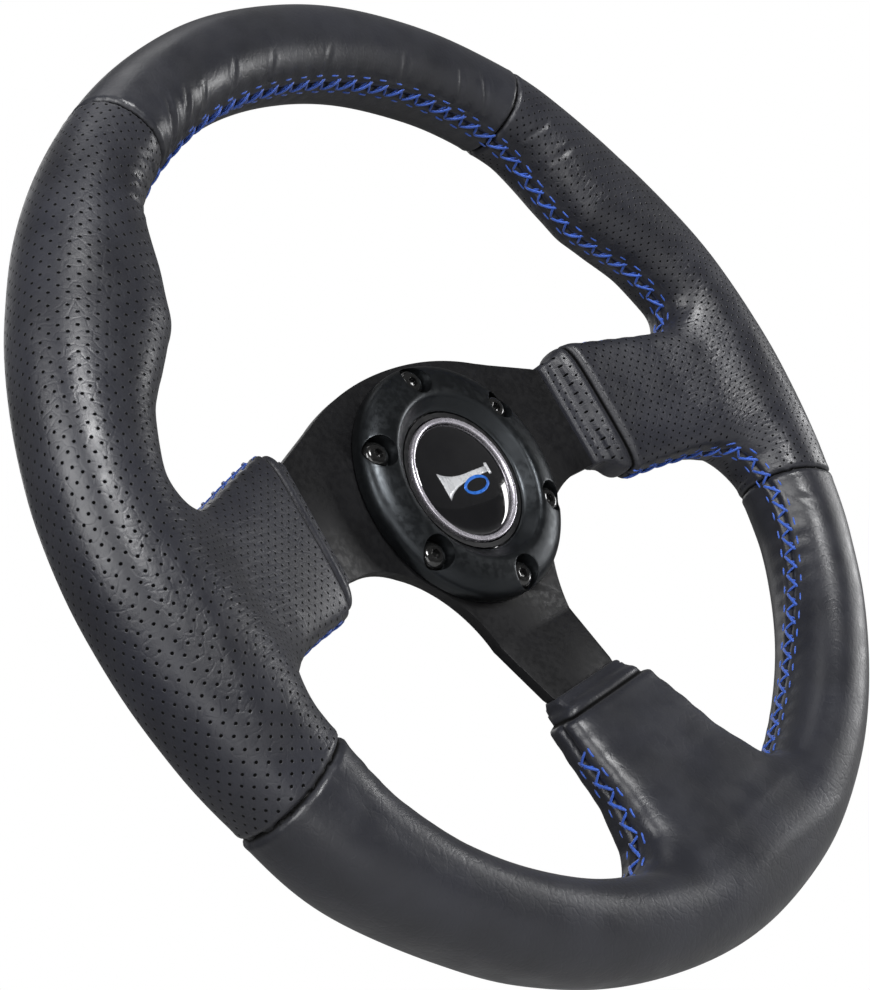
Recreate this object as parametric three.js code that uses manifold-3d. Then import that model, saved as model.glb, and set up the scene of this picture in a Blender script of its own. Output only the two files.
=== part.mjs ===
// A 320 mm three-spoke leather steering wheel with a bolt-on hub face for a quick release or a hub
// adapter, and its horn button. Millimetres. The wheel's axis is Y: the driver is towards -Y and the
// steering column towards +Y. X is the driver's right, Z is up with 12 o'clock at the top.
// The origin is the centre of the spoke plate's back face, where the adapter seats.

import * as THREE from "three";
import { mergeVertices } from "three/addons/utils/BufferGeometryUtils.js";
import Module from "manifold-3d";

const wasm = await Module();
wasm.setup();

// ---------------------------------------------------------------- driving dimensions

const WHEEL_RADIUS = 160; // half of the 320 mm outside diameter
const RIM_INNER_RADIUS = 132;
const RIM_HALF_DEPTH = 16.2; // half of the rim's size along the wheel axis
const RIM_CENTRE_Y = -28; // the dish: the rim sits this far in front of the hub face
const RIM_SQUARENESS = 2.3; // superellipse exponent of the rim's section
const CORE_RADIUS = 146; // centre line of the steel core tube
const CORE_TUBE_RADIUS = 5;
const LEATHER = 1.4; // leather thickness
const GAP = 0.3; // clearance between neighbouring pieces

const PLATE_THICKNESS = 4;
const ARM_BEND_X = 40; // where each side arm starts to lean towards the driver
const ARM_KNEE_X = 64; // where it leans further, under the leather
const ARM_LEAN = 0.12;
const DISH_SLOPE = 0.3;
const TAIL_BEND_Z = -52; // where the lower arm starts to lean

const BOLT_CIRCLE_RADIUS = 35; // six M5 screws on a 70 mm circle
const BOLT_COUNT = 6;
const SCREW_RADIUS = 2.5;
const SCREW_HOLE_RADIUS = 2.8;
const SCREW_HEAD_RADIUS = 4.7;
const SCREW_HEAD_HEIGHT = 2.75;
const SCREW_SEAT_Y = -7.6;
const SCREW_TIP_Y = 6;
const HEX_KEY_RADIUS = 1.73; // 3 mm across flats, to the corners
const HEX_DEPTH = 1.6;

const RING_OUTER_RADIUS = 40.7;
const RING_BORE_RADIUS = 24.2;
const RING_CREST_RADIUS = 30.6; // the crown's highest line, near the horn button
const RING_CREST_Y = -13.3;
const RING_EDGE_Y = -7.5; // where the straight outer wall ends and the crown starts
const RING_MOUTH_Y = -8.6; // the crown's end at the bore
const COUNTERBORE_RADIUS = 5.4;

const HORN_BODY_RADIUS = 23.7;
const HORN_WALL = 1.6;
const HORN_FLOOR_Y = 6; // inner face of the housing's floor, behind the hub face
const HORN_FLOOR = 2;
const BEZEL_OUTER_RADIUS = 21.6;
const BEZEL_INNER_RADIUS = 19.7;
const HORN_FACE_Y = -9.6; // the bezel's front edge

const SLEEVE_SQUARENESS = 3.4; // superellipse exponent of a spoke sleeve's section
const SLEEVE_LIFT = 1.2; // more padding on the driver's side of the plate than behind it
const TONGUE = 1; // thinned leather at the start of each sleeve
const TONGUE_START_ARM = 65;
const TONGUE_START_TAIL = 73.4;

// Clock angles of the leather seams, in degrees from 12 o'clock, clockwise as the driver sees them.
const SEAM_TOP_LEFT = -34;
const SEAM_TOP_RIGHT = 38;
const SEAM_LOW = 112; // on both sides

// Inner radius of the padded rim against clock angle: thumb rests at 10 and 2 o'clock.
const GRIP = [
  [0, RIM_INNER_RADIUS],
  [36, 132.6],
  [43, 131.4],
  [51, 121.8],
  [57.5, 117.4],
  [64, 121],
  [70, 126],
  [78, 128.5],
  [90, 126],
  [102, 124.5],
  [112, 128],
  [120, 131.5],
  [130, RIM_INNER_RADIUS],
  [180, RIM_INNER_RADIUS],
];

// ---------------------------------------------------------------- materials

function material(color, roughness, metalness) {
  return new THREE.MeshStandardMaterial({ color, roughness, metalness });
}

// ---------------------------------------------------------------- solids

function solid(geometry) {
  const bare = geometry.clone();
  bare.deleteAttribute("normal");
  bare.deleteAttribute("uv");
  const merged = mergeVertices(bare, 1e-3);
  const made = new wasm.Manifold(
    new wasm.Mesh({
      numProp: 3,
      vertProperties: merged.attributes.position.array,
      triVerts: new Uint32Array(merged.index.array),
    }),
  );
  if (made.volume() < 0) throw new Error("a solid's faces point inwards");
  return made;
}

function geometryOf(manifold) {
  const mesh = manifold.getMesh();
  const geometry = new THREE.BufferGeometry();
  geometry.setAttribute("position", new THREE.BufferAttribute(mesh.vertProperties, 3));
  geometry.setIndex(new THREE.BufferAttribute(mesh.triVerts, 1));
  geometry.computeVertexNormals();
  return geometry;
}

// A skin over rings of points, closed along its length or capped at both ends.
function skin(rings, closed) {
  const sides = rings[0].length;
  const positions = rings.flat().flatMap((p) => [p.x, p.y, p.z]);
  const index = [];
  const last = closed ? rings.length : rings.length - 1;
  for (let i = 0; i < last; i++) {
    const here = i * sides;
    const next = ((i + 1) % rings.length) * sides;
    for (let j = 0; j < sides; j++) {
      const k = (j + 1) % sides;
      index.push(here + j, next + j, next + k, here + j, next + k, here + k);
    }
  }
  if (!closed) {
    const end = (rings.length - 1) * sides;
    for (let j = 1; j < sides - 1; j++) {
      index.push(0, j, j + 1, end, end + j + 1, end + j);
    }
  }
  const geometry = new THREE.BufferGeometry();
  geometry.setAttribute("position", new THREE.Float32BufferAttribute(positions, 3));
  geometry.setIndex(index);
  return geometry;
}

// A turned piece around the wheel axis. The profile is [radius, y] pairs; it is closed if it
// doesn't start and end on the axis.
function turned(profile, segments = 48) {
  const points = profile.map(([r, y]) => new THREE.Vector2(r, y));
  const onAxis = points[0].x === 0 && points.at(-1).x === 0;
  if (THREE.ShapeUtils.area(points) < 0) points.reverse();
  if (!onAxis) points.push(points[0].clone());
  return new THREE.LatheGeometry(points, segments);
}

// A round bar along the wheel axis, for screws and holes.
function bar(radius, fromY, toY, x = 0, z = 0, sides = 16) {
  const geometry = new THREE.CylinderGeometry(radius, radius, toY - fromY, sides);
  geometry.translate(x, (fromY + toY) / 2, z);
  return geometry;
}

// A block given by its two corners.
function block(low, high) {
  const size = high.map((v, i) => v - low[i]);
  const geometry = new THREE.BoxGeometry(...size);
  geometry.translate(...low.map((v, i) => v + size[i] / 2));
  return geometry;
}

// An outline in the X-Z plane, pulled through along the wheel axis.
function prism(points, fromY, toY) {
  const shape = new THREE.Shape(points.map(([x, z]) => new THREE.Vector2(x, z)));
  const geometry = new THREE.ExtrudeGeometry(shape, {
    depth: toY - fromY,
    bevelEnabled: false,
  });
  geometry.rotateX(Math.PI / 2); // the outline's second axis becomes +Z and the pull -Y
  geometry.translate(0, toY, 0);
  return geometry;
}

function clockPoint(clock, radius, y) {
  const angle = THREE.MathUtils.degToRad(clock);
  return new THREE.Vector3(radius * Math.sin(angle), y, radius * Math.cos(angle));
}

// ---------------------------------------------------------------- rim

function gripRadius(clock) {
  const folded = Math.abs(((clock + 540) % 360) - 180);
  const next = GRIP.findIndex(([angle]) => angle >= folded);
  const [a1, r1] = GRIP[next];
  if (next === 0) return r1;
  const [a0, r0] = GRIP[next - 1];
  const ease = THREE.MathUtils.smoothstep(folded, a0, a1);
  const straight = (folded - a0) / (a1 - a0);
  return r0 + ((r1 - r0) * (ease + straight)) / 2;
}

function rimSection(clock, inset, sides) {
  const inner = gripRadius(clock) + inset;
  const outer = WHEEL_RADIUS - inset;
  const power = 2 / RIM_SQUARENESS;
  return Array.from({ length: sides }, (_, i) => {
    const angle = (2 * Math.PI * i) / sides;
    const c = Math.cos(angle);
    const s = Math.sin(angle);
    const across = ((outer - inner) / 2) * Math.sign(c) * Math.abs(c) ** power;
    const along = (RIM_HALF_DEPTH - inset) * Math.sign(s) * Math.abs(s) ** power;
    return clockPoint(clock, (outer + inner) / 2 + across, RIM_CENTRE_Y + along);
  });
}

function rimSolid(inset, stations = 56, sides = 12) {
  const rings = Array.from({ length: stations }, (_, i) =>
    rimSection((360 * i) / stations, inset, sides),
  );
  return solid(skin(rings, true));
}

function coreSolid(grow) {
  const section = Array.from({ length: 6 }, (_, i) => {
    const angle = (2 * Math.PI * i) / 6;
    return [
      CORE_RADIUS + (CORE_TUBE_RADIUS + grow) * Math.cos(angle),
      RIM_CENTRE_Y + (CORE_TUBE_RADIUS + grow) * Math.sin(angle),
    ];
  });
  return solid(turned(section, 48));
}

// ---------------------------------------------------------------- spoke plate

// Right half of the plate's outline, from the top of the arch round to the foot of the lower arm.
function plateHalf(grow) {
  const reach = CORE_RADIUS + 1;
  const path = new THREE.Path();
  path.moveTo(0, 43.2 + grow);
  path.bezierCurveTo(20, 43.2 + grow, 34, 38.5 + grow, 45, 33.4 + grow);
  path.lineTo(62, 26.5 + grow);
  path.lineTo(72, 21.5 + grow);
  path.lineTo(86, 14 + grow);
  path.lineTo(reach, 13 + grow);
  path.lineTo(reach, -13 - grow);
  path.lineTo(70, -13.5 - grow);
  path.lineTo(56, -13.5 - grow);
  path.bezierCurveTo(38 + grow, -14 - grow, 21 + grow, -33 - grow, 18.8 + grow, -53);
  path.lineTo(16.9 + grow, -72);
  path.lineTo(12.5 + grow, -86);
  path.lineTo(12.5 + grow, -reach);
  return path.getPoints(6).map((p) => [p.x, p.y]);
}

// The bent sheet seen edge-on, as [distance from the hub, y] pairs of its front face.
const ARM_FRONT = [
  [0, -PLATE_THICKNESS],
  [ARM_BEND_X, -PLATE_THICKNESS],
  [ARM_KNEE_X, -PLATE_THICKNESS - ARM_LEAN * (ARM_KNEE_X - ARM_BEND_X)],
  [150, -PLATE_THICKNESS - ARM_LEAN * (ARM_KNEE_X - ARM_BEND_X) - DISH_SLOPE * (150 - ARM_KNEE_X)],
];
const TAIL_FRONT = [
  [0, -PLATE_THICKNESS],
  [-TAIL_BEND_Z, -PLATE_THICKNESS],
  [150, -PLATE_THICKNESS - DISH_SLOPE * (150 + TAIL_BEND_Z)],
];

// The front face's y at a distance along a bent profile.
function frontY(profile, distance) {
  const next = profile.findIndex(([d]) => d >= distance);
  const [d1, y1] = profile[Math.max(next, 1)];
  const [d0, y0] = profile[Math.max(next, 1) - 1];
  return y0 + ((y1 - y0) * (distance - d0)) / (d1 - d0);
}

// The part of a polygon of [x, z] points where a*x + b*z >= c.
function clipped(points, a, b, c) {
  const side = ([x, z]) => a * x + b * z - c;
  return points.flatMap((p, i) => {
    const q = points[(i + 1) % points.length];
    const here = side(p);
    const there = side(q);
    const kept = here >= 0 ? [p] : [];
    if (here * there < 0) {
      const t = here / (here - there);
      kept.push([p[0] + (q[0] - p[0]) * t, p[1] + (q[1] - p[1]) * t]);
    }
    return kept;
  });
}

// The front face's y anywhere on the bent plate.
function plateFront(x, z) {
  return z < TAIL_BEND_Z ? frontY(TAIL_FRONT, -z) : frontY(ARM_FRONT, Math.abs(x));
}

// The flat blank inside the outline, folded along its bend lines and thickened.
function plateBlank(grow) {
  const half = plateHalf(grow);
  const outline = [...half, ...half.slice(1).map(([x, z]) => [-x, z]).reverse()];
  const upper = clipped(outline, 0, 1, TAIL_BEND_Z);
  const facets = [
    clipped(outline, 0, -1, -TAIL_BEND_Z),
    clipped(clipped(upper, -1, 0, -ARM_BEND_X), 1, 0, -ARM_BEND_X),
  ];
  for (const side of [1, -1]) {
    const arm = clipped(upper, side, 0, ARM_BEND_X);
    facets.push(clipped(arm, -side, 0, -ARM_KNEE_X), clipped(arm, side, 0, ARM_KNEE_X));
  }
  const corners = [];
  const number = ([x, z]) => {
    const at = corners.findIndex((c) => Math.hypot(c[0] - x, c[1] - z) < 1e-4);
    return at >= 0 ? at : corners.push([x, z]) - 1;
  };
  const front = [];
  for (const facet of facets) {
    const flat = facet.map(([x, z]) => new THREE.Vector2(x, z));
    for (const triangle of THREE.ShapeUtils.triangulateShape(flat, [])) {
      const ids = triangle.map((i) => number(facet[i]));
      const [p, q, r] = ids.map((i) => new THREE.Vector2(...corners[i]));
      const area = THREE.ShapeUtils.area([p, q, r]);
      front.push(area > 0 ? ids : ids.reverse());
    }
  }
  const count = corners.length;
  const index = front.flatMap(([i, j, k]) => [i, j, k, i + count, k + count, j + count]);
  const edges = new Set(front.flatMap(([i, j, k]) => [`${i},${j}`, `${j},${k}`, `${k},${i}`]));
  for (const edge of edges) {
    const [i, j] = edge.split(",").map(Number);
    if (!edges.has(`${j},${i}`)) index.push(j, i, i + count, j, i + count, j + count);
  }
  const positions = [-grow, PLATE_THICKNESS + grow].flatMap((lift) =>
    corners.flatMap(([x, z]) => [x, plateFront(x, z) + lift, z]),
  );
  const geometry = new THREE.BufferGeometry();
  geometry.setAttribute("position", new THREE.Float32BufferAttribute(positions, 3));
  geometry.setIndex(index);
  return solid(geometry);
}

// ---------------------------------------------------------------- padded spoke sleeves

// A sleeve's section around a spoke: a rounded rectangle `distance` out from the hub.
function sleeveSection(distance, across, halfWidth, y, halfDepth, sides = 12) {
  const power = 2 / SLEEVE_SQUARENESS;
  return Array.from({ length: sides }, (_, i) => {
    const angle = (2 * Math.PI * (i + 0.5)) / sides;
    const c = Math.cos(angle);
    const s = Math.sin(angle);
    const wide = halfWidth * Math.sign(c) * Math.abs(c) ** power;
    const deep = halfDepth * Math.sign(s) * Math.abs(s) ** power;
    return new THREE.Vector3(distance, y + deep, across + wide);
  });
}

// Stations of a sleeve: distance from the hub, its two edges across the spoke, half depth.
const ARM_SLEEVE = [
  [72, -19, 27, 6.5],
  [76, -22.5, 28.5, 7.5],
  [92, -24.5, 25, 8.5],
  [106, -27, 21, 10],
  [117, -32, 18.5, 12],
  [126, -42, 20, 13],
  [138, -46, 28, 11],
];
const TAIL_SLEEVE = [
  [80.5, -17.5, 17.5, 6.5],
  [84, -22.5, 22.5, 7.5],
  [92, -26, 26, 8.5],
  [107, -28.5, 28.5, 10],
  [120, -33.5, 33.5, 12],
  [129, -41, 41, 13],
  [139, -46, 46, 11],
];

function sleeve(profile, stations, inset) {
  const rings = stations.map(([distance, low, high, halfDepth], i) => {
    const y = frontY(profile, distance) + PLATE_THICKNESS / 2 - SLEEVE_LIFT;
    const start = i === 0 ? distance + inset : distance; // the hub end keeps its wall
    const halfWidth = (high - low) / 2 - inset;
    return sleeveSection(start, (high + low) / 2, halfWidth, y, halfDepth - inset);
  });
  return skin(rings, false);
}

// The right, left and lower sleeves, joined.
function sleeves(inset) {
  const arm = sleeve(ARM_FRONT, ARM_SLEEVE, inset);
  const mirrored = ARM_SLEEVE.map(([d, low, high, depth]) => [d, -high, -low, depth]);
  const left = sleeve(ARM_FRONT, mirrored, inset).rotateY(Math.PI);
  const tail = sleeve(TAIL_FRONT, TAIL_SLEEVE, inset).rotateY(Math.PI / 2);
  return solid(arm).add(solid(left)).add(solid(tail));
}

// The thin tongues of leather that lie on the plate where each sleeve starts.
function tongues() {
  const wrap = plateBlank(GAP + TONGUE);
  const reach = 30;
  const right = solid(block([TONGUE_START_ARM, -60, -reach], [80, 5, reach]));
  const left = solid(block([-80, -60, -reach], [-TONGUE_START_ARM, 5, reach]));
  const tail = solid(block([-reach, -60, -90], [reach, 5, -TONGUE_START_TAIL]));
  return wrap.intersect(right.add(left).add(tail));
}

// ---------------------------------------------------------------- leather and foam

// A wedge between two clock angles, to cut one leather panel out of the whole cover.
function wedge(fromClock, toClock) {
  const steps = Math.ceil((toClock - fromClock) / 30);
  const rim = Array.from({ length: steps + 1 }, (_, i) => {
    const p = clockPoint(fromClock + ((toClock - fromClock) * i) / steps, WHEEL_RADIUS * 1.3, 0);
    return [p.x, p.z];
  });
  return solid(prism([[0, 0], ...rim], -70, 20));
}

const plate = plateBlank(0);
const plateClearance = plateBlank(GAP);
const core = coreSolid(0);
const coreClearance = coreSolid(GAP);

const centreBore = solid(bar(RING_BORE_RADIUS + GAP, -10, 10, 0, 0, 48));
const boltPlaces = Array.from({ length: BOLT_COUNT }, (_, i) => {
  const p = clockPoint((360 / BOLT_COUNT) * i, BOLT_CIRCLE_RADIUS, 0);
  return [p.x, p.z];
});

function drilled(blank, radius, fromY, toY) {
  return boltPlaces.reduce(
    (left, [x, z]) => left.subtract(solid(bar(radius, fromY, toY, x, z))),
    blank,
  );
}

const spokePlate = drilled(
  plate.subtract(centreBore).subtract(coreClearance),
  SCREW_HOLE_RADIUS,
  -10,
  10,
);

const foam = rimSolid(LEATHER + GAP)
  .add(sleeves(LEATHER + GAP))
  .subtract(plateClearance)
  .subtract(coreClearance);

const cover = rimSolid(0)
  .add(sleeves(0))
  .add(tongues())
  .subtract(rimSolid(LEATHER).add(sleeves(LEATHER)))
  .subtract(plateClearance);

// Degrees of rim taken off each end of a panel, so that neighbouring panels stay apart.
const SEAM_GAP = THREE.MathUtils.radToDeg(GAP / 2 / CORE_RADIUS);

const panels = [
  ["leather_top", SEAM_TOP_LEFT, SEAM_TOP_RIGHT],
  ["leather_right", SEAM_TOP_RIGHT, SEAM_LOW],
  ["leather_bottom", SEAM_LOW, 360 - SEAM_LOW],
  ["leather_left", 360 - SEAM_LOW, 360 + SEAM_TOP_LEFT],
];

const wheel = new THREE.Group();

function place(name, shape, look, parent = wheel) {
  const geometry = shape.isBufferGeometry ? shape : geometryOf(shape);
  const mesh = new THREE.Mesh(geometry, look);
  mesh.name = name;
  parent.add(mesh);
  return mesh;
}

place("spoke_plate", spokePlate, material(0x17181a, 0.5, 0.85));
place("rim_core_tube", core, material(0x6a6d70, 0.45, 1));
place("rim_foam", foam, material(0x2b2b2c, 0.95, 0));
const leatherMeshes = panels.map(([name, from, to]) =>
  place(
    name,
    cover.intersect(wedge(from + SEAM_GAP, to - SEAM_GAP)),
    material(0x25272b, 0.6, 0),
  ),
);

// ---------------------------------------------------------------- stitching

// Each window's seam is a thread that runs off one sleeve, round the inner wall of the rim and back
// along the next sleeve. It lies just clear of the leather.
const THREAD_RADIUS = 0.6;
const THREAD_CLEARANCE = THREAD_RADIUS + 1.2;
const LOW_EDGE = 1;
const HIGH_EDGE = 2;

// A sleeve's side from its hub end to the rim, as [distance, y, across] points clear of the leather.
function sleeveSide(profile, stations, edge) {
  const clear = edge === LOW_EDGE ? -THREAD_CLEARANCE : THREAD_CLEARANCE;
  return stations.slice(1, 5).map((station) => {
    const y = frontY(profile, station[0]) + PLATE_THICKNESS / 2 - SLEEVE_LIFT;
    return [station[0], y, station[edge] + clear];
  });
}

function rimSide(fromClock, toClock) {
  const steps = Math.ceil((toClock - fromClock) / 5);
  return Array.from({ length: steps + 1 }, (_, i) => {
    const clock = fromClock + ((toClock - fromClock) * i) / steps;
    return clockPoint(clock, gripRadius(clock) - THREAD_CLEARANCE, RIM_CENTRE_Y);
  });
}

// A route is pulled in towards the middle of its window wherever leather stands in the way.
function thread(middle, route) {
  const from = new THREE.Vector3(...middle);
  const points = route.map((p) => {
    const away = p.clone().sub(from);
    const ray = new THREE.Raycaster(from, away.clone().normalize());
    const [hit] = ray.intersectObjects(leatherMeshes);
    const free = hit ? hit.distance - THREAD_CLEARANCE : Infinity;
    return from.clone().add(away.clampLength(0, free));
  });
  const section = new THREE.Shape();
  section.absarc(0, 0, THREAD_RADIUS, 0, 2 * Math.PI);
  return new THREE.ExtrudeGeometry(section, {
    steps: route.length * 2,
    curveSegments: 3,
    bevelEnabled: false,
    extrudePath: new THREE.CatmullRomCurve3(points),
  });
}

const onArm = ([distance, y, across]) => new THREE.Vector3(distance, y, across);
const onTail = ([distance, y, across]) => new THREE.Vector3(across, y, -distance);
const mirror = (p) => new THREE.Vector3(-p.x, p.y, p.z);

const armTop = sleeveSide(ARM_FRONT, ARM_SLEEVE, HIGH_EDGE).map(onArm);
const armUnder = sleeveSide(ARM_FRONT, ARM_SLEEVE, LOW_EDGE).map(onArm);
const tailSide = sleeveSide(TAIL_FRONT, TAIL_SLEEVE, HIGH_EDGE).map(onTail);
const topRoute = [...armTop.map(mirror), ...rimSide(-76, 76), ...armTop.toReversed()];
const lowRoute = [...armUnder, ...rimSide(110, 156), ...tailSide.toReversed()];

const threadLook = material(0x1d4fd0, 0.6, 0);
place("stitching_top_window", thread([0, -20, 70], topRoute), threadLook);
place("stitching_right_window", thread([70, -20, -68], lowRoute), threadLook);
place("stitching_left_window", thread([-70, -20, -68], lowRoute.map(mirror)), threadLook);

// ---------------------------------------------------------------- trim ring and its screws

// The ring stands on the plate: a crown that slopes out from its crest, a lip that is dished
// around the horn button, and a groove in its back for the ring that retains the button.
const RING_BACK_Y = -PLATE_THICKNESS - GAP;
const RETAINER_GROOVE_RADIUS = 26.6;
const RETAINER_GROOVE_Y = -6.4;

function trimRing() {
  const crown = new THREE.Path();
  crown.moveTo(RING_OUTER_RADIUS, RING_BACK_Y);
  crown.lineTo(RING_OUTER_RADIUS, RING_EDGE_Y);
  crown.bezierCurveTo(RING_OUTER_RADIUS, -10.3, 37.6, -13, RING_CREST_RADIUS, RING_CREST_Y);
  crown.bezierCurveTo(29, RING_CREST_Y, 28.4, -12.8, 27.7, -11.9);
  crown.bezierCurveTo(25.8, -10, 25.2, -9.4, 24.7, -9.1);
  crown.lineTo(RING_BORE_RADIUS, RING_MOUTH_Y);
  crown.lineTo(RING_BORE_RADIUS, RETAINER_GROOVE_Y);
  crown.lineTo(RETAINER_GROOVE_RADIUS, RETAINER_GROOVE_Y);
  crown.lineTo(RETAINER_GROOVE_RADIUS, RING_BACK_Y);
  const profile = crown.getPoints(4).map((p) => [p.x, p.y]);
  const blank = solid(turned(profile, 40));
  const bored = drilled(blank, SCREW_HOLE_RADIUS, -20, 0);
  return drilled(bored, COUNTERBORE_RADIUS, -20, SCREW_SEAT_Y);
}

place("trim_ring", trimRing(), material(0x1b1e21, 0.38, 0.9));

// A button-head socket screw: domed head, hexagon socket and shank, its seat at y = 0.
function buttonHeadScrew(seatY) {
  const head = new THREE.Path();
  head.moveTo(0, seatY - SCREW_HEAD_HEIGHT);
  head.lineTo(2.4, seatY - SCREW_HEAD_HEIGHT);
  head.quadraticCurveTo(4.4, seatY - 2.2, SCREW_HEAD_RADIUS, seatY - 0.4);
  head.lineTo(SCREW_HEAD_RADIUS, seatY);
  head.lineTo(SCREW_RADIUS, seatY);
  head.lineTo(SCREW_RADIUS, SCREW_TIP_Y - 0.8);
  head.lineTo(SCREW_RADIUS - 0.8, SCREW_TIP_Y);
  head.lineTo(0, SCREW_TIP_Y);
  const profile = head.getPoints(3).map((p) => [p.x, p.y]);
  const top = seatY - SCREW_HEAD_HEIGHT;
  const socket = solid(bar(HEX_KEY_RADIUS, top - 1, top + HEX_DEPTH, 0, 0, 6));
  return geometryOf(solid(turned(profile, 12)).subtract(socket));
}

boltPlaces.forEach(([x, z], i) => {
  const screw = buttonHeadScrew(SCREW_SEAT_Y - GAP);
  const mesh = place(`ring_screw_${i + 1}`, screw, material(0x111214, 0.25, 1));
  mesh.position.set(x, 0, z);
});

// ---------------------------------------------------------------- horn button, fixed pieces

const plastic = material(0x0d0d0f, 0.45, 0);
const brass = material(0xb08a3c, 0.35, 1);

// The housing is a cup that drops through the plate, open towards the driver.
const HORN_MOUTH_Y = -8.6;
const HORN_BACK_Y = HORN_FLOOR_Y + HORN_FLOOR;
const HORN_INNER_RADIUS = HORN_BODY_RADIUS - HORN_WALL;
const RETAINER_INNER_RADIUS = 23.3;
const HOUSING_GROOVE_RADIUS = RETAINER_INNER_RADIUS - GAP;
const STUD_RADIUS = 1.6;
const BLADE_SLOT_X = 14;

const housing = solid(
  turned(
    [
      [0, HORN_FLOOR_Y],
      [HORN_INNER_RADIUS, HORN_FLOOR_Y],
      [HORN_INNER_RADIUS, HORN_MOUTH_Y],
      [HORN_BODY_RADIUS, HORN_MOUTH_Y],
      [HORN_BODY_RADIUS, RETAINER_GROOVE_Y],
      [HOUSING_GROOVE_RADIUS, RETAINER_GROOVE_Y],
      [HOUSING_GROOVE_RADIUS, RING_BACK_Y],
      [HORN_BODY_RADIUS, RING_BACK_Y],
      [HORN_BODY_RADIUS, HORN_BACK_Y - 1],
      [HORN_BODY_RADIUS - 1, HORN_BACK_Y],
      [0, HORN_BACK_Y],
    ],
    36,
  ),
)
  .subtract(solid(bar(STUD_RADIUS + GAP, HORN_FLOOR_Y - 1, HORN_BACK_Y + 1, 0, 0, 12)))
  .subtract(solid(block([-BLADE_SLOT_X - 1, HORN_FLOOR_Y - 1, -4], [-BLADE_SLOT_X + 1, 9, 4])));
place("horn_body", housing, plastic);

// A split spring ring in the trim ring's back groove keeps the housing in.
const retainer = solid(
  turned(
    [
      [RETAINER_INNER_RADIUS, RETAINER_GROOVE_Y + GAP],
      [RETAINER_GROOVE_RADIUS - GAP, RETAINER_GROOVE_Y + GAP],
      [RETAINER_GROOVE_RADIUS - GAP, RING_BACK_Y - GAP],
      [RETAINER_INNER_RADIUS, RING_BACK_Y - GAP],
    ],
    36,
  ),
).subtract(solid(block([-2.5, -8, -28], [2.5, -2, -20])));
place("horn_retaining_ring", retainer, material(0x9a9da0, 0.35, 1));

// Fibre washer under the spring, with the fixed contact's stud through its middle.
const INSULATOR_Y = 4.7;
const SPRING_COIL_RADIUS = 9;
const insulator = turned(
  [
    [STUD_RADIUS + GAP, INSULATOR_Y],
    [SPRING_COIL_RADIUS + 2.5, INSULATOR_Y],
    [SPRING_COIL_RADIUS + 2.5, HORN_FLOOR_Y - GAP],
    [STUD_RADIUS + GAP, HORN_FLOOR_Y - GAP],
  ],
  24,
);
place("horn_insulator", insulator, material(0x6b4a2f, 0.8, 0));

const FIXED_CONTACT_Y = 3.2;
const fixedContact = turned(
  [
    [0, FIXED_CONTACT_Y],
    [3.6, FIXED_CONTACT_Y + 0.4],
    [3.6, INSULATOR_Y - GAP],
    [STUD_RADIUS, INSULATOR_Y - GAP],
    [STUD_RADIUS, 11.5],
    [0, 11.5],
  ],
  16,
);
place("horn_fixed_contact", fixedContact, brass);

// Two 6.3 mm blade terminals behind the housing: one on the stud, one through the floor slot.
const BLADE_HALF_WIDTH = 3.15;
const BLADE_THICKNESS = 0.8;
const BLADE_TIP_Y = 18;
const liveFoot = solid(block([-4, HORN_BACK_Y + GAP, -BLADE_HALF_WIDTH], [9, 9.1, BLADE_HALF_WIDTH]));
const liveBlade = solid(
  block([9 - BLADE_THICKNESS, HORN_BACK_Y + GAP, -BLADE_HALF_WIDTH], [9, BLADE_TIP_Y, BLADE_HALF_WIDTH]),
);
const studHole = solid(bar(STUD_RADIUS + GAP, HORN_BACK_Y, 12, 0, 0, 12));
place("horn_terminal_live", liveFoot.add(liveBlade).subtract(studHole), brass);

const slotMiddle = BLADE_THICKNESS / 2;
const groundBlade = solid(
  block(
    [-BLADE_SLOT_X - slotMiddle, INSULATOR_Y, -BLADE_HALF_WIDTH],
    [-BLADE_SLOT_X + slotMiddle, BLADE_TIP_Y, BLADE_HALF_WIDTH],
  ),
);
const groundFoot = solid(
  block([-BLADE_SLOT_X, INSULATOR_Y, -BLADE_HALF_WIDTH], [-12, 5.5, BLADE_HALF_WIDTH]),
);
place("horn_terminal_ground", groundBlade.add(groundFoot), brass);

// ---------------------------------------------------------------- horn button, sprung pieces

const HORN_TRAVEL = 2.5; // the button's stroke until the contacts close
const CAP_FRONT_Y = -7.2;
const CAP_BACK_Y = -5;
const CAP_RADIUS = 21.4;
const CAP_SKIRT = 1.6;
const CAP_SKIRT_Y = 0;
const LENS_EDGE_Y = -8.3;
const LENS_TOP_Y = -10.4;
const DISC_RADIUS = BEZEL_INNER_RADIUS - GAP;
const BOSS_RADIUS = 6;
const CONTACT_BACK_Y = FIXED_CONTACT_Y - HORN_TRAVEL - GAP;

const button = new THREE.Group();
wheel.add(button);

const cap = turned(
  [
    [0, CAP_FRONT_Y],
    [CAP_RADIUS, CAP_FRONT_Y],
    [CAP_RADIUS, CAP_SKIRT_Y],
    [CAP_RADIUS - CAP_SKIRT, CAP_SKIRT_Y],
    [CAP_RADIUS - CAP_SKIRT, CAP_BACK_Y],
    [BOSS_RADIUS, CAP_BACK_Y],
    [BOSS_RADIUS, CONTACT_BACK_Y - 1.1],
    [0, CONTACT_BACK_Y - 1.1],
  ],
  36,
);
place("horn_cap", cap, plastic, button);

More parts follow.
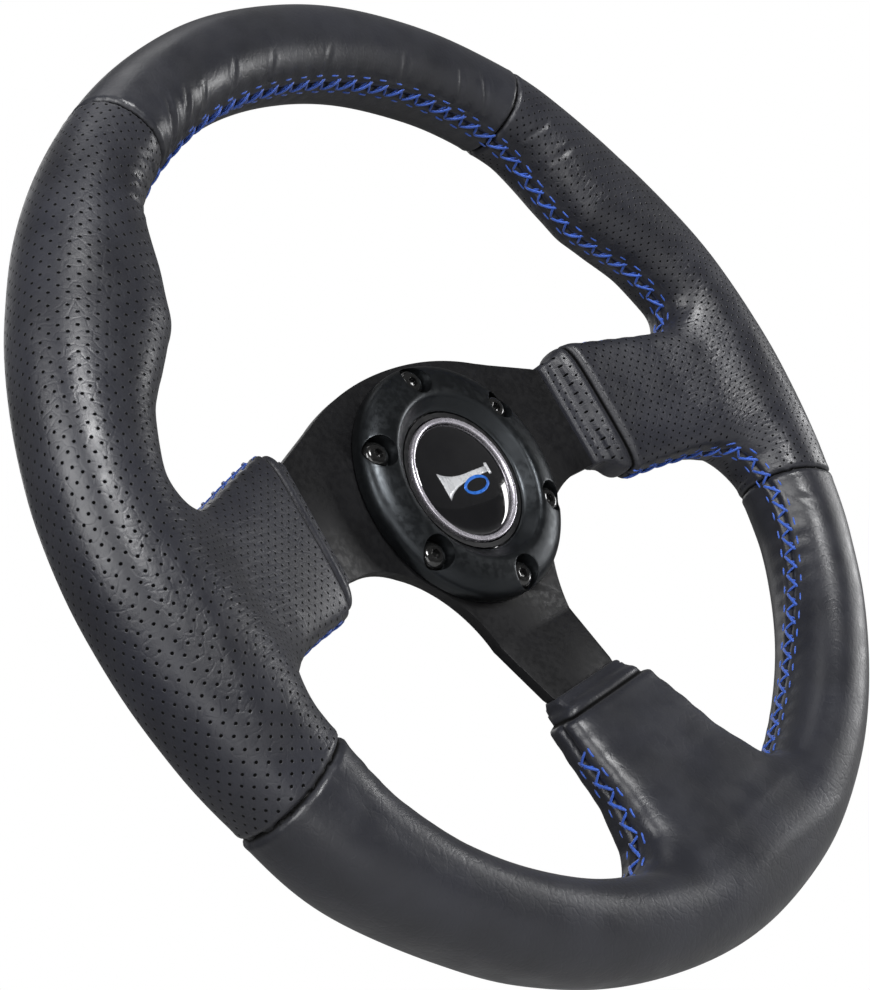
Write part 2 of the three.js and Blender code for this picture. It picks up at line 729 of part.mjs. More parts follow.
const bezel = turned(
  [
    [BEZEL_INNER_RADIUS, CAP_FRONT_Y - GAP],
    [BEZEL_OUTER_RADIUS, CAP_FRONT_Y - GAP],
    [BEZEL_OUTER_RADIUS, HORN_FACE_Y + 0.6],
    [BEZEL_OUTER_RADIUS - 0.7, HORN_FACE_Y],
    [BEZEL_INNER_RADIUS + 0.5, HORN_FACE_Y],
    [BEZEL_INNER_RADIUS, HORN_FACE_Y + 0.6],
  ],
  36,
);
place("horn_bezel", bezel, material(0xd8d9dd, 0.12, 1), button);

const disc = bar(DISC_RADIUS, CAP_FRONT_Y - GAP - 0.5, CAP_FRONT_Y - GAP, 0, 0, 36);
place("horn_emblem_disc", disc, material(0x0b0b0d, 0.4, 0.2), button);

const lensDome = new THREE.Path();
lensDome.moveTo(0, LENS_EDGE_Y);
lensDome.lineTo(DISC_RADIUS, LENS_EDGE_Y);
lensDome.lineTo(DISC_RADIUS, LENS_EDGE_Y - 0.5);
lensDome.quadraticCurveTo(DISC_RADIUS * 0.6, LENS_TOP_Y, 0, LENS_TOP_Y);
place(
  "horn_lens",
  turned(lensDome.getPoints(5).map((p) => [p.x, p.y]), 36),
  material(0x0a0a0c, 0.05, 0),
  button,
);

const movingContact = bar(5, CONTACT_BACK_Y - 0.8, CONTACT_BACK_Y, 0, 0, 16);
place("horn_moving_contact", movingContact, brass, button);

// The return spring stands on the washer and pushes under the cap.
const SPRING_WIRE_RADIUS = 0.6;
const SPRING_TURNS = 3.5;
class Coil extends THREE.Curve {
  getPoint(t, target = new THREE.Vector3()) {
    const from = INSULATOR_Y - GAP - SPRING_WIRE_RADIUS;
    const to = CAP_BACK_Y + GAP + SPRING_WIRE_RADIUS;
    const angle = 2 * Math.PI * SPRING_TURNS * t;
    return target.set(
      SPRING_COIL_RADIUS * Math.cos(angle),
      from + (to - from) * t,
      SPRING_COIL_RADIUS * Math.sin(angle),
    );
  }
}
const wire = new THREE.Shape();
wire.absarc(0, 0, SPRING_WIRE_RADIUS, 0, 2 * Math.PI);
const spring = new THREE.ExtrudeGeometry(wire, {
  steps: 42,
  curveSegments: 3,
  bevelEnabled: false,
  extrudePath: new Coil(),
});
place("horn_spring", spring, material(0xa9acb0, 0.3, 1));

export default wheel;
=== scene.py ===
"""A leather covered three-spoke steering wheel with a trim ring and a horn button.

Metres. X is the driver's right, Y runs from the driver towards the column, Z is up. Clock angles
are degrees from 12 o'clock, clockwise as the driver sees them.
"""

import math

import bmesh
import bpy
import numpy as np
from mathutils import Matrix, Vector
from mathutils.kdtree import KDTree


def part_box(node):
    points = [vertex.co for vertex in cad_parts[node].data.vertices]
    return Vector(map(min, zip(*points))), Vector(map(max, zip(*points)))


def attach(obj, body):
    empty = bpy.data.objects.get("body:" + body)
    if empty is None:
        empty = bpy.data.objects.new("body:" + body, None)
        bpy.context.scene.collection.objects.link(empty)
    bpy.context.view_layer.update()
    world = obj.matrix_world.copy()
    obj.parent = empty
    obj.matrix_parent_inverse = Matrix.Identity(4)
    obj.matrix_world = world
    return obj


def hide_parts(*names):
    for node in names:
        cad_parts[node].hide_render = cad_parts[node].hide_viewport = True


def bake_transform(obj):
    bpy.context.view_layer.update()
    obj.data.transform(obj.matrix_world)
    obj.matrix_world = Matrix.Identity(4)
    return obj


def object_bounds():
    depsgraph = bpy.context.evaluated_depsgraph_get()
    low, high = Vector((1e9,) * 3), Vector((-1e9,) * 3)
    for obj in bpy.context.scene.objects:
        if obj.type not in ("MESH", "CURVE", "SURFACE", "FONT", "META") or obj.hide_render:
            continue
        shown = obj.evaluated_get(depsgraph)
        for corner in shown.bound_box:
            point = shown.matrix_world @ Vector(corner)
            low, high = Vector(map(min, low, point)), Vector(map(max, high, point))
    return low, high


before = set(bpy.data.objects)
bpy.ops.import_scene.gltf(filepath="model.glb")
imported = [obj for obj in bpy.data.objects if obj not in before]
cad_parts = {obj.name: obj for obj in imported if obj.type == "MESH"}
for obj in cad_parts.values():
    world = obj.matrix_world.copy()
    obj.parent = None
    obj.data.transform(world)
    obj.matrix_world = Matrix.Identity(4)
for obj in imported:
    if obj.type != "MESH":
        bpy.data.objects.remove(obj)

cad_box = [list(corner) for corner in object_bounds()]
MM = 0.001


# ================================================================ camera, floor and light
# The wheel is seen from close by on the driver's left, level with its lower half, in a plain white
# studio. The camera leans over to one side, so its right and its up direction are both given.

CAMERA_PLACE = Vector((-0.3570, -0.3192, -0.0433))
CAMERA_RIGHT = Vector((0.6175, -0.6111, -0.4953)).normalized()
CAMERA_UP = Vector((0.276, -0.4214, 0.8639)).normalized()
CAMERA_LENS = 54.46  # on a 36 mm sensor along the long side

camera_data = bpy.data.cameras.new("camera")
camera = bpy.data.objects.new("camera", camera_data)
bpy.context.collection.objects.link(camera)
bpy.context.scene.camera = camera
camera_data.lens = CAMERA_LENS
camera_data.clip_start = 0.01
camera_back = CAMERA_RIGHT.cross(CAMERA_UP)
turn = Matrix((CAMERA_RIGHT, CAMERA_UP, camera_back)).transposed()
camera.matrix_world = Matrix.Translation(CAMERA_PLACE) @ turn.to_4x4()
bpy.context.scene.view_settings.view_transform = "Standard"


def material_with(name, roughness=0.5, **constants):
    """A new material and its shader, with what is the same all over set on the shader."""
    material = bpy.data.materials.new(name)
    material.use_nodes = True
    shader = material.node_tree.nodes["Principled BSDF"]
    shader.inputs["Roughness"].default_value = roughness
    for label, value in constants.items():
        shader.inputs[label.replace("_", " ")].default_value = value
    return material, material.node_tree, shader


FLOOR_DROP = 0.45  # how far the floor is below the wheel
FLOOR_WIDTH = 40
bpy.ops.mesh.primitive_plane_add(size=FLOOR_WIDTH, location=(0, 0, cad_box[0][2] - FLOOR_DROP))
floor = bpy.context.object
floor.name = "floor"
floor_white, tree, shader = material_with("floor_white", roughness=0.9,
                                          Base_Color=(0.5, 0.5, 0.5, 1))
glow = tree.nodes.new("ShaderNodeEmission")
glow.inputs["Strength"].default_value = 1.0
eye_only = tree.nodes.new("ShaderNodeLightPath")
lit = tree.nodes.new("ShaderNodeMixShader")
tree.links.new(eye_only.outputs["Is Camera Ray"], lit.inputs["Fac"])
tree.links.new(shader.outputs[0], lit.inputs[1])
tree.links.new(glow.outputs[0], lit.inputs[2])
tree.links.new(lit.outputs[0], tree.nodes["Material Output"].inputs["Surface"])
floor.data.materials.append(floor_white)

FILL = 0.1  # strength of the white light from all round
WHITE = (1, 1, 1, 1)
world = bpy.data.worlds.new("studio")
bpy.context.scene.world = world
world.use_nodes = True
tree = world.node_tree
sky = tree.nodes["Background"]
sky.inputs["Color"].default_value = WHITE
sky.inputs["Strength"].default_value = FILL
backdrop = tree.nodes.new("ShaderNodeBackground")
backdrop.inputs["Color"].default_value = WHITE
seen = tree.nodes.new("ShaderNodeLightPath")
choice = tree.nodes.new("ShaderNodeMixShader")
tree.links.new(seen.outputs["Is Camera Ray"], choice.inputs["Fac"])
tree.links.new(sky.outputs[0], choice.inputs[1])
tree.links.new(backdrop.outputs[0], choice.inputs[2])
tree.links.new(choice.outputs[0], tree.nodes["World Output"].inputs["Surface"])


def soft_light(name, place, size, power):
    """A lamp with a soft rectangular face, turned to the hub."""
    light = bpy.data.lights.new(name, "AREA")
    light.shape = "RECTANGLE"
    light.size, light.size_y = size
    light.energy = power
    lamp = bpy.data.objects.new(name, light)
    bpy.context.collection.objects.link(lamp)
    lamp.location = place
    lamp.rotation_euler = (-Vector(place)).to_track_quat("-Z", "Y").to_euler()


soft_light("key_light", (-1.3, -0.5, 0.7), (0.9, 0.8), 17)
soft_light("left_light", (-1.1, -1.1, -0.2), (0.7, 0.9), 4)
soft_light("front_light", (-0.2, -1.35, 0.6), (0.35, 0.45), 17)
soft_light("top_light", (0.3, -0.2, 1.3), (0.8, 0.6), 2)
soft_light("low_back_light", (0, 0.7, -1.1), (0.8, 0.6), 3)
soft_light("right_light", (1.35, -0.5, -0.25), (0.3, 0.5), 5)
soft_light("back_light", (0.6, 1.3, 0.8), (0.9, 0.9), 2.5)


# ================================================================ leather panels
# Four panels of black leather over moulded foam, smooth at the top and the bottom, perforated at
# the sides. They are stretched round the foam, with its thumb rests and a flat sleeve down each
# spoke, sewn to each other at the seams, and end in a bare tongue on the plate.

WHEEL_RADIUS = cad_box[1][0] / MM
CORE_RADIUS = 146  # middle of the steel ring inside the rim
rim_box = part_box("leather_top")
RIM_CENTRE_Y = (rim_box[0][1] + rim_box[1][1]) / 2 / MM
RIM_HALF_DEPTH = (rim_box[1][1] - rim_box[0][1]) / 2 / MM
RIM_SQUARENESS = 2.3
SLEEVE_SQUARENESS = 4.6
SLEEVE_LIFT = 1.2
PLATE_THICKNESS = 4.0
GRIP = np.array([  # clock angle, inner radius of the padded rim
    (0, 132), (36, 132.6), (43, 131.4), (51, 121.8), (57.5, 117.4), (64, 121), (70, 126),
    (78, 128.5), (90, 126), (102, 124.5), (112, 127.4), (120, 131), (130, 132.3), (180, 132),
])
ARM_FRONT = np.array([(0, -4), (40, -4), (64, -6.88), (150, -32.68)])  # out along an arm, y
TAIL_FRONT = np.array([(0, -4), (52, -4), (150, -33.4)])  # and down the lower spoke
ARM_SLEEVE = np.array([  # distance out, lower edge, upper edge, half depth
    (70, -19, 28, 6.6), (76, -22.5, 29.3, 7.6), (92, -24.5, 24.6, 8.6), (106, -27, 20, 10),
    (117, -32, 17, 12), (126, -42, 20, 13), (138, -46, 28, 11),
])
TAIL_SLEEVE = np.array([
    (76.5, -18.5, 18.5, 6.6), (81, -22.6, 22.6, 7.8), (92, -25, 25, 8.8), (107, -27, 27, 10),
    (120, -32, 32, 12), (129, -39.5, 39.5, 13), (139, -46, 46, 11),
])
ARM_TONGUE = np.array([  # distance out, lower edge, upper edge
    (65, -14.3, 26.6), (76, -14.8, 24), (84, -14.8, 17),
])
TAIL_TONGUE = np.array([(73.4, -17.8, 17.8), (90, -15, 15)])
TONGUE_HALF_DEPTH = PLATE_THICKNESS / 2 + 1.9
SEAMS = (-34, 38, 112, 248)  # clock angles


def eased(table, step=0.5, spread=4):
    """A table's columns against its first one, sampled finely with the corners rounded off."""
    at = np.arange(table[0, 0], table[-1, 0] + step / 2, step)
    kernel = np.hanning(2 * spread + 3)
    kernel /= kernel.sum()
    columns = []
    for column in table[:, 1:].T:
        values = np.interp(at, table[:, 0], column)
        padded = np.pad(values, spread + 1, mode="reflect", reflect_type="odd")
        columns.append(np.convolve(padded, kernel, mode="valid"))
    return at, columns


grip_at, (grip_values,) = eased(GRIP)


def clock_of(p):
    return np.degrees(np.arctan2(p[:, 0], p[:, 2]))


def grip_radius(clock):
    return np.interp(np.abs((clock + 180) % 360 - 180), grip_at, grip_values)


def rounded_distance(across, deep, half_across, half_deep, power):
    """About how far a point is outside a rounded rectangle."""
    g = (np.abs(across / half_across) ** power + np.abs(deep / half_deep) ** power) ** (1 / power)
    g = np.maximum(g, 1e-3)
    return np.hypot(across, deep) * (1 - 1 / g)


def smooth_min(a, b, reach):
    h = np.clip(0.5 + 0.5 * (b - a) / reach, 0, 1)
    return b + (a - b) * h - reach * h * (1 - h)


def smooth_max(a, b, reach):
    return -smooth_min(-a, -b, reach)


def rim_section(p):
    """Where points lie in the rim's section, outwards and backwards, and its half width there."""
    inner = grip_radius(clock_of(p))
    outwards = np.hypot(p[:, 0], p[:, 2]) - (WHEEL_RADIUS + inner) / 2
    return outwards, p[:, 1] - RIM_CENTRE_Y, (WHEEL_RADIUS - inner) / 2


def rim_distance(p):
    return rounded_distance(*rim_section(p), RIM_HALF_DEPTH, RIM_SQUARENESS)


END_ROUNDING, TONGUE_EDGE = 4.0, 1.0
TONGUE_FILLET = 2.5
JOIN_FILLET = 9.5


def spoke_distance(out, across, y, front, stations, tongue):
    """Outside distance of one spoke's sleeve with its tongue, in the spoke's own directions."""
    at, (low, high, depth) = eased(stations)
    low, high, depth = (np.interp(out, at, column) for column in (low, high, depth))
    middle = np.interp(out, front[:, 0], front[:, 1]) + PLATE_THICKNESS / 2
    body = rounded_distance(
        across - (low + high) / 2, y - middle + SLEEVE_LIFT, (high - low) / 2, depth,
        SLEEVE_SQUARENESS,
    )
    body = smooth_max(body, np.maximum(stations[0, 0] - out, out - stations[-1, 0]), END_ROUNDING)
    low, high = (np.interp(out, tongue[:, 0], tongue[:, column]) for column in (1, 2))
    strip = np.maximum(np.abs(across - (low + high) / 2) - (high - low) / 2,
                       np.abs(y - middle) - TONGUE_HALF_DEPTH)
    strip = smooth_max(strip, np.maximum(tongue[0, 0] - out, out - tongue[-1, 0]), TONGUE_EDGE)
    return smooth_min(body, strip, TONGUE_FILLET)


def leather_distance(p):
    x, y, z = p.T
    rim = rim_distance(p)
    arms = spoke_distance(np.abs(x), z, y, ARM_FRONT, ARM_SLEEVE, ARM_TONGUE)
    tail = spoke_distance(-z, x, y, TAIL_FRONT, TAIL_SLEEVE, TAIL_TONGUE)
    return smooth_min(smooth_min(rim, arms, JOIN_FILLET), tail, JOIN_FILLET)


def slope(p, reach=0.25):
    """Which way the leather faces at each point."""
    steps = np.eye(3) * reach
    return np.stack(
        [(leather_distance(p + s) - leather_distance(p - s)) / (2 * reach) for s in steps], axis=1,
    )


def settled(p, rounds, furthest=4.0):
    """Points moved onto the leather's surface."""
    for _ in range(rounds):
        away = slope(p)
        length = np.maximum((away**2).sum(axis=1), 0.05)
        move = np.clip(leather_distance(p) / length, -furthest, furthest)
        p = p - away * move[:, None]
    return p


def points_of(mesh):
    flat = np.empty(len(mesh.vertices) * 3)
    mesh.vertices.foreach_get("co", flat)
    return flat.reshape(-1, 3)


def settle_mesh(mesh, rounds):
    mesh.vertices.foreach_set("co", (settled(points_of(mesh) / MM, rounds) * MM).ravel())
    mesh.update()


def only(*pieces):
    """Makes these the only selected objects, and the first one active."""
    bpy.ops.object.select_all(action="DESELECT")
    for piece in pieces:
        piece.select_set(True)
    bpy.context.view_layer.objects.active = pieces[0]


def joined(pieces):
    only(*pieces)
    bpy.ops.object.join()
    return pieces[0]


def relax(mesh, rounds):
    """Evens out the points over the leather, which also opens small folds."""
    ends = np.empty(len(mesh.edges) * 2, dtype=int)
    mesh.edges.foreach_get("vertices", ends)
    one, other = ends.reshape(-1, 2).T
    total = len(mesh.vertices)
    count = np.bincount(one, minlength=total) + np.bincount(other, minlength=total)
    p = points_of(mesh) / MM
    for _ in range(rounds):
        near = np.column_stack([
            np.bincount(one, p[other, axis], total) + np.bincount(other, p[one, axis], total)
            for axis in range(3)
        ])
        p = settled((p + near / count[:, None]) / 2, 1)
    mesh.vertices.foreach_set("co", (p * MM).ravel())
    mesh.update()


START_INSET = 1.5
RIGHT, UP = Vector((1, 0, 0)), Vector((0, 0, 1))


def rough_spoke(front, stations, tongue, outwards, sideways):
    """A plain block down one spoke, a little inside its leather, as a start for the remesh."""
    rows = [(tongue[0, 0] + 0.4, tongue[0, 1], tongue[0, 2], TONGUE_HALF_DEPTH),
            (stations[0, 0], tongue[1, 1], tongue[1, 2], TONGUE_HALF_DEPTH), *stations[1:]]
    block = bmesh.new()
    rings = []
    for out, low, high, depth in rows:
        middle = np.interp(out, front[:, 0], front[:, 1]) + PLATE_THICKNESS / 2
        inset = min(START_INSET, depth / 6)
        ring = [(low + inset, -1), (high - inset, -1), (high - inset, 1), (low + inset, 1)]
        rings.append([
            block.verts.new((outwards * out + sideways * across
                             + Vector((0, middle + side * (depth - inset), 0))) * MM)
            for across, side in ring
        ])
    for ring, following in zip(rings, rings[1:]):
        for i in range(4):
            j = (i + 1) % 4
            block.faces.new((ring[i], ring[j], following[j], following[i]))
    block.faces.new(rings[0])
    block.faces.new(rings[-1])
    bmesh.ops.recalc_face_normals(block, faces=block.faces[:])
    mesh = bpy.data.meshes.new("rough_spoke")
    block.to_mesh(mesh)
    block.free()
    made = bpy.data.objects.new("rough_spoke", mesh)
    bpy.context.collection.objects.link(made)
    return made


START_THICKNESS = 14.5
VOXELS = (3.0, 1.8)  # a coarse skin first, then a finer one
SKIN_ROUNDS = 6
bpy.ops.object.select_all(action="DESELECT")
bpy.ops.mesh.primitive_torus_add(
    major_radius=CORE_RADIUS * MM, minor_radius=START_THICKNESS * MM,
    major_segments=120, minor_segments=24,
    location=(0, RIM_CENTRE_Y * MM, 0), rotation=(math.pi / 2, 0, 0),
)
cover = joined([
    bpy.context.object,
    rough_spoke(ARM_FRONT, ARM_SLEEVE, ARM_TONGUE, RIGHT, UP),
    rough_spoke(ARM_FRONT, ARM_SLEEVE, ARM_TONGUE, -RIGHT, UP),
    rough_spoke(TAIL_FRONT, TAIL_SLEEVE, TAIL_TONGUE, -UP, RIGHT),
])
cover.name = "leather_cover"
bpy.ops.object.transform_apply(location=True, rotation=True, scale=True)
for voxel in VOXELS:
    cover.data.remesh_voxel_size = voxel * MM
    bpy.ops.object.voxel_remesh()
    settle_mesh(cover.data, SKIN_ROUNDS)
    relax(cover.data, SKIN_ROUNDS)


# Where the two edges of leather meet inside each window, as points in millimetres: along one
# spoke's side, round the rim's inner wall and back along the next spoke's side.
HEM_DEPTH_TOP = np.array([  # clock angle, y on the rim's inner wall
    (-81, -23.9), (-74, -26.8), (-63, -25.9), (-46, -25.3), (-37, -28.6), (-21, -31.6),
    (21, -31.6), (37, -28.6), (46, -25.3), (63, -25.9), (74, -26.8), (81, -23.9),
])
HEM_DEPTH_LOW = np.array([
    (104, -27), (115, -32.6), (128, -29.5), (139, -25.3), (151, -22.9), (162, -23),
])
HEM_STEP = 0.5


def spoke_side(front, stations, edge, first, last, back):
    """Points down one side of a sleeve, as distance out, y and place across."""
    out = np.arange(first, last, 2.0)
    across = np.interp(out, stations[:, 0], stations[:, edge])
    y = np.interp(out, front[:, 0], front[:, 1]) + PLATE_THICKNESS / 2 - SLEEVE_LIFT + back
    return np.column_stack([out, y, across])


def rim_inside(depths):
    clock = np.arange(depths[0, 0], depths[-1, 0] + 0.1, 1.0)
    radius = grip_radius(clock)
    angle = np.radians(clock)
    y = np.interp(clock, depths[:, 0], depths[:, 1])
    return np.column_stack([radius * np.sin(angle), y, radius * np.cos(angle)])


def evenly(points, step):
    """The same path with its points about one step apart."""
    lengths = np.concatenate([[0], np.cumsum(np.linalg.norm(np.diff(points, axis=0), axis=1))])
    count = int(lengths[-1] / step)
    at = np.linspace(0, lengths[-1], count + 1)
    return np.column_stack([np.interp(at, lengths, column) for column in points.T])


def hem_path(points):
    """The hem laid on the leather, with its corners eased."""
    points = evenly(points, 1.5)
    for _ in range(6):
        points[1:-1] = (points[:-2] + 2 * points[1:-1] + points[2:]) / 4
    return evenly(settled(points, 4), HEM_STEP)


MIRRORED = np.array([-1, 1, 1])
arm_top = spoke_side(ARM_FRONT, ARM_SLEEVE, 2, 76.5, 113, 1.0)
arm_low = spoke_side(ARM_FRONT, ARM_SLEEVE, 1, 76.5, 108, 1.0)
tail_side = spoke_side(TAIL_FRONT, TAIL_SLEEVE, 2, 81, 118, -0.8)
tail_right = tail_side[:, [2, 1, 0]] * (1, 1, -1)
top_route = np.concatenate([arm_top * MIRRORED, rim_inside(HEM_DEPTH_TOP), arm_top[::-1]])
low_route = np.concatenate([arm_low, rim_inside(HEM_DEPTH_LOW), tail_right[::-1]])
hems = {
    "top_window": hem_path(top_route),
    "right_window": hem_path(low_route),
    "left_window": hem_path(low_route * MIRRORED),
}
hem_tree = KDTree(sum(len(path) for path in hems.values()))
hem_at = []
for path in hems.values():
    for number, point in enumerate(path):
        hem_tree.insert(point, len(hem_at))
        hem_at.append(number * HEM_STEP)
hem_tree.balance()


# The cover is cut along the four seams, so that each panel has an edge of its own there.
SEAM_FROM, SEAM_REACH, SEAM_SNAP = 100, 10, 0.4


def seam_directions(clock):
    angle = math.radians(clock)
    out = Vector((math.sin(angle), 0, math.cos(angle)))
    return out, Vector((out.z, 0, -out.x))


shape = bmesh.new()
shape.from_mesh(cover.data)
for clock in SEAMS:
    out, along = seam_directions(clock)
    near = []
    for face in shape.faces:
        middle = face.calc_center_median()
        if middle.dot(out) > SEAM_FROM * MM and abs(middle.dot(along)) < SEAM_REACH * MM:
            near.append(face)
    near_edges = {e for f in near for e in f.edges}
    near_verts = {v for f in near for v in f.verts}
    bmesh.ops.bisect_plane(
        shape, geom=[*near, *near_edges, *near_verts], dist=SEAM_SNAP * MM,
        plane_co=(0, 0, 0), plane_no=along,
    )
bmesh.ops.subdivide_edges(shape, edges=shape.edges[:], cuts=1, use_grid_fill=True)
shape.to_mesh(cover.data)
shape.free()
settle_mesh(cover.data, 2)

# Creases that the leather takes where it is pulled in: clock angle and section angle (0 outside,
# 90 towards the driver, 180 inside) of both ends, depth and half width in millimetres.
CREASES = [
    (-31, 150, -28.5, 98, 1.1, 0.9), (-27.5, 152, -25, 108, 0.9, 0.9),
    (-23, 150, -21.5, 118, 0.6, 0.8), (-37, 150, -38.5, 108, 0.5, 0.8),
    (-40.5, 148, -42, 100, 0.45, 0.8), (-44, 146, -45.5, 98, 0.4, 0.8),
    (-16, 150, -14.5, 112, 0.55, 0.8), (-8, 152, -7, 118, 0.4, 0.8),
    (3, 152, 4, 120, 0.4, 0.8), (18, 152, 17.5, 118, 0.35, 0.8),
    (29, 150, 27.5, 112, 0.4, 0.8), (34, 150, 31.5, 106, 0.5, 0.9),
    (42, 152, 44, 112, 0.45, 0.8), (47, 148, 49, 108, 0.35, 0.8),
    (116, 148, 118, 116, 0.25, 1.2), (244, 148, 242, 118, 0.25, 1.2),
]
CREASE_RADII = (135, 15)  # of the ring and of its section, to turn both angles into lengths
RIM_FROM, SPOKE_TO = 116, 104  # distances from the hub where the rim's and the spokes' relief ends
FOAM_WAVE = 0.12
SEAM_GROOVE = 1.35
SEAM_GATHER = 0.15
HEM_GROOVE = 0.9
HEM_RIDGE, HEM_GATHER = 0.3, 0.14
STITCH_PITCH = 7.1
SLEEVE_CREASES = (75.5, 79.6)  # where the padding starts behind each tongue: arms, lower spoke
CREASE_DEPTH = 1.5
BOTTOM_SWELL, SWELL_CLOCK = 1.8, 240  # the bottom panel stands a little proud of the left one


def bump(distance, width):
    return np.exp(-((distance / width) ** 2))


def section_angle(p):
    outwards, backwards, half_width = rim_section(p)
    return np.degrees(np.arctan2(-backwards / RIM_HALF_DEPTH, outwards / half_width))


def from_clock(clock, start):
    """How far clock angles are from a start, the short way round."""
    return (clock - start + 180) % 360 - 180


def leather_relief(p, hem, hem_along):
    """Height of the leather over the foam's smooth shape, and how deep in a seam, hem or crease a
    point is, which later sets how much painted shade it gets.
    """
    clock = clock_of(p)
    radius = np.hypot(p[:, 0], p[:, 2])
    turn = section_angle(p)
    wave = np.sin(p[:, 0] / 9 + 1.3 * np.sin(p[:, 2] / 13)) * np.sin(p[:, 2] / 11)
    height = FOAM_WAVE * wave
    depth = np.zeros(len(p))
    on_rim = np.clip((radius - RIM_FROM) / 6, 0, 1)
    pulled = 0.6 + 0.4 * np.cos(np.radians(turn) * 24)
    for seam in SEAMS:
        along = np.radians(from_clock(clock, seam)) * radius
        ridge = SEAM_GATHER * bump(np.abs(along) - 1.8, 1.2)
        height -= on_rim * SEAM_GROOVE * bump(along, 0.65)
        height += on_rim * (ridge - SEAM_GATHER * pulled * bump(along, 3.2))
        depth = np.maximum(depth, on_rim * bump(along, 0.55))
    gathers = np.sin(hem_along * 2 * np.pi / STITCH_PITCH)
    height -= HEM_GROOVE * bump(hem, 0.75)
    height += HEM_RIDGE * bump(hem - 2.2, 1.3) + HEM_GATHER * gathers * bump(hem - 4.4, 3.2)
    depth = np.maximum(depth, 0.6 * bump(hem, 0.7))
    outside = on_rim * np.clip(np.cos(np.radians(turn)), 0, 1)
    swell = bump(clock % 360 - SWELL_CLOCK, 8) * (clock % 360 < SEAMS[3])
    height += BOTTOM_SWELL * outside * swell
    spoke = np.clip((SPOKE_TO - radius) / 8, 0, 1)
    for out, start in zip((np.abs(p[:, 0]), -p[:, 2]), SLEEVE_CREASES):
        height -= spoke * CREASE_DEPTH * bump(out - start, 1.1)
        height += spoke * 0.15 * bump(out - start - 2.6, 1.6)
        depth = np.maximum(depth, spoke * bump(out - start, 0.9))
    for clock_a, turn_a, clock_b, turn_b, deep, wide in CREASES:
        start = np.radians((clock_a, turn_a)) * CREASE_RADII
        way = np.radians((clock_b, turn_b)) * CREASE_RADII - start
        near_clock = from_clock(clock, clock_a) + clock_a
        place = np.radians(np.column_stack([near_clock, turn])) * CREASE_RADII - start
        share = np.clip(place @ way / (way @ way), 0, 1)
        off = np.linalg.norm(place - share[:, None] * way, axis=1)
        faded = np.sin(np.pi * np.clip(share * 0.8 + 0.15, 0, 1))
        height -= on_rim * deep * faded * bump(off, wide)
        height += on_rim * 0.4 * deep * faded * bump(off - 2.2 * wide, wide)
    return height, depth


FAR_FROM_HEM = 99.0
points = points_of(cover.data) / MM
hem = np.full(len(points), FAR_FROM_HEM)
hem_along = np.zeros(len(points))
inside = np.hypot(points[:, 0], points[:, 2]) < 150  # the outer wall has no hem near it
for i in np.flatnonzero(inside):
    _, nearest, distance = hem_tree.find(points[i])
    hem[i] = distance
    hem_along[i] = hem_at[nearest]
height, seam_depth = leather_relief(points, hem, hem_along)
facing = slope(points)
facing /= np.linalg.norm(facing, axis=1)[:, None]

# The flat lay of the leather: along the rim, and round its section from the outside. On a sleeve
# it goes over to straight lines down the spoke.
QUARTER_LAP = 24.0
lay_along = np.radians(clock_of(points)) * CORE_RADIUS
lay_round = np.abs(section_angle(points)) / 90 * QUARTER_LAP
on_arm = np.clip(rim_distance(points) / 8, 0, 1)
on_arm = on_arm * on_arm * (3 - 2 * on_arm)
side = np.sign(points[:, 0])
lay_along += on_arm * (side * (np.pi / 2 * CORE_RADIUS - points[:, 2]) - lay_along)
lay_round += on_arm * (QUARTER_LAP + CORE_RADIUS - np.abs(points[:, 0]) - lay_round)
points += facing * height[:, None]

cover.data.vertices.foreach_set("co", (points * MM).ravel())
lay = cover.data.attributes.new("lay", "FLOAT_VECTOR", "POINT")
lay.data.foreach_set("vector", np.column_stack([lay_along, lay_round, hem]).ravel())
# How deep in a seam, hem or crease each point is. It keeps holes clear of seams and sets the
# painted shade there.
seam_shade_mask = cover.data.attributes.new("seam_shade_mask", "FLOAT", "POINT")
seam_shade_mask.data.foreach_set("value", seam_depth)
cover.data.update()


def mesh_object(name, mesh):
    piece = bpy.data.objects.new(name, mesh)
    bpy.context.collection.objects.link(piece)
    for face in mesh.polygons:
        face.use_smooth = True
    return piece


PANEL_GAP = 0.12


def clock_angle(place):
    return math.degrees(math.atan2(place.x, place.z))


def leather_panel(name, first, last):
    """The part of the cover between two clock angles, closed at both seams."""
    part = bmesh.new()
    part.from_mesh(cover.data)
    spare = []
    for face in part.faces:
        if (clock_angle(face.calc_center_median()) - first) % 360 > last - first:
            spare.append(face)
    bmesh.ops.delete(part, geom=spare, context="FACES")
    edges = [e for e in part.edges if e.is_boundary]
    loops = {v for e in edges for v in e.verts}
    for vert in loops:
        at_start = abs(from_clock(clock_angle(vert.co), first)) < 10
        _, along = seam_directions(first if at_start else last)
        vert.co += along * (PANEL_GAP if at_start else -PANEL_GAP) * MM
    caps = bmesh.ops.holes_fill(part, edges=edges, sides=0)["faces"]
    bmesh.ops.triangulate(part, faces=caps)
    bmesh.ops.recalc_face_normals(part, faces=part.faces[:])
    mesh = bpy.data.meshes.new(name)
    part.to_mesh(mesh)
    part.free()
    return mesh_object(name, mesh)


# ---------------------------------------------------------------- leather finish
def node_group(name, inputs, outputs):
    group = bpy.data.node_groups.new(name, "ShaderNodeTree")
    for label, kind, value in inputs:
        socket = group.interface.new_socket(label, in_out="INPUT", socket_type=kind)
        socket.default_value = value
    for label, kind in outputs:
        group.interface.new_socket(label, in_out="OUTPUT", socket_type=kind)
    return group, group.nodes.new("NodeGroupInput"), group.nodes.new("NodeGroupOutput")


def node(tree, kind, values=None, **settings):
    made = tree.nodes.new("ShaderNode" + kind)
    for key, value in settings.items():
        setattr(made, key, value)
    for key, value in (values or {}).items():
        if isinstance(value, bpy.types.NodeSocket):
            tree.links.new(value, made.inputs[key])
        else:
            made.inputs[key].default_value = value
    return made


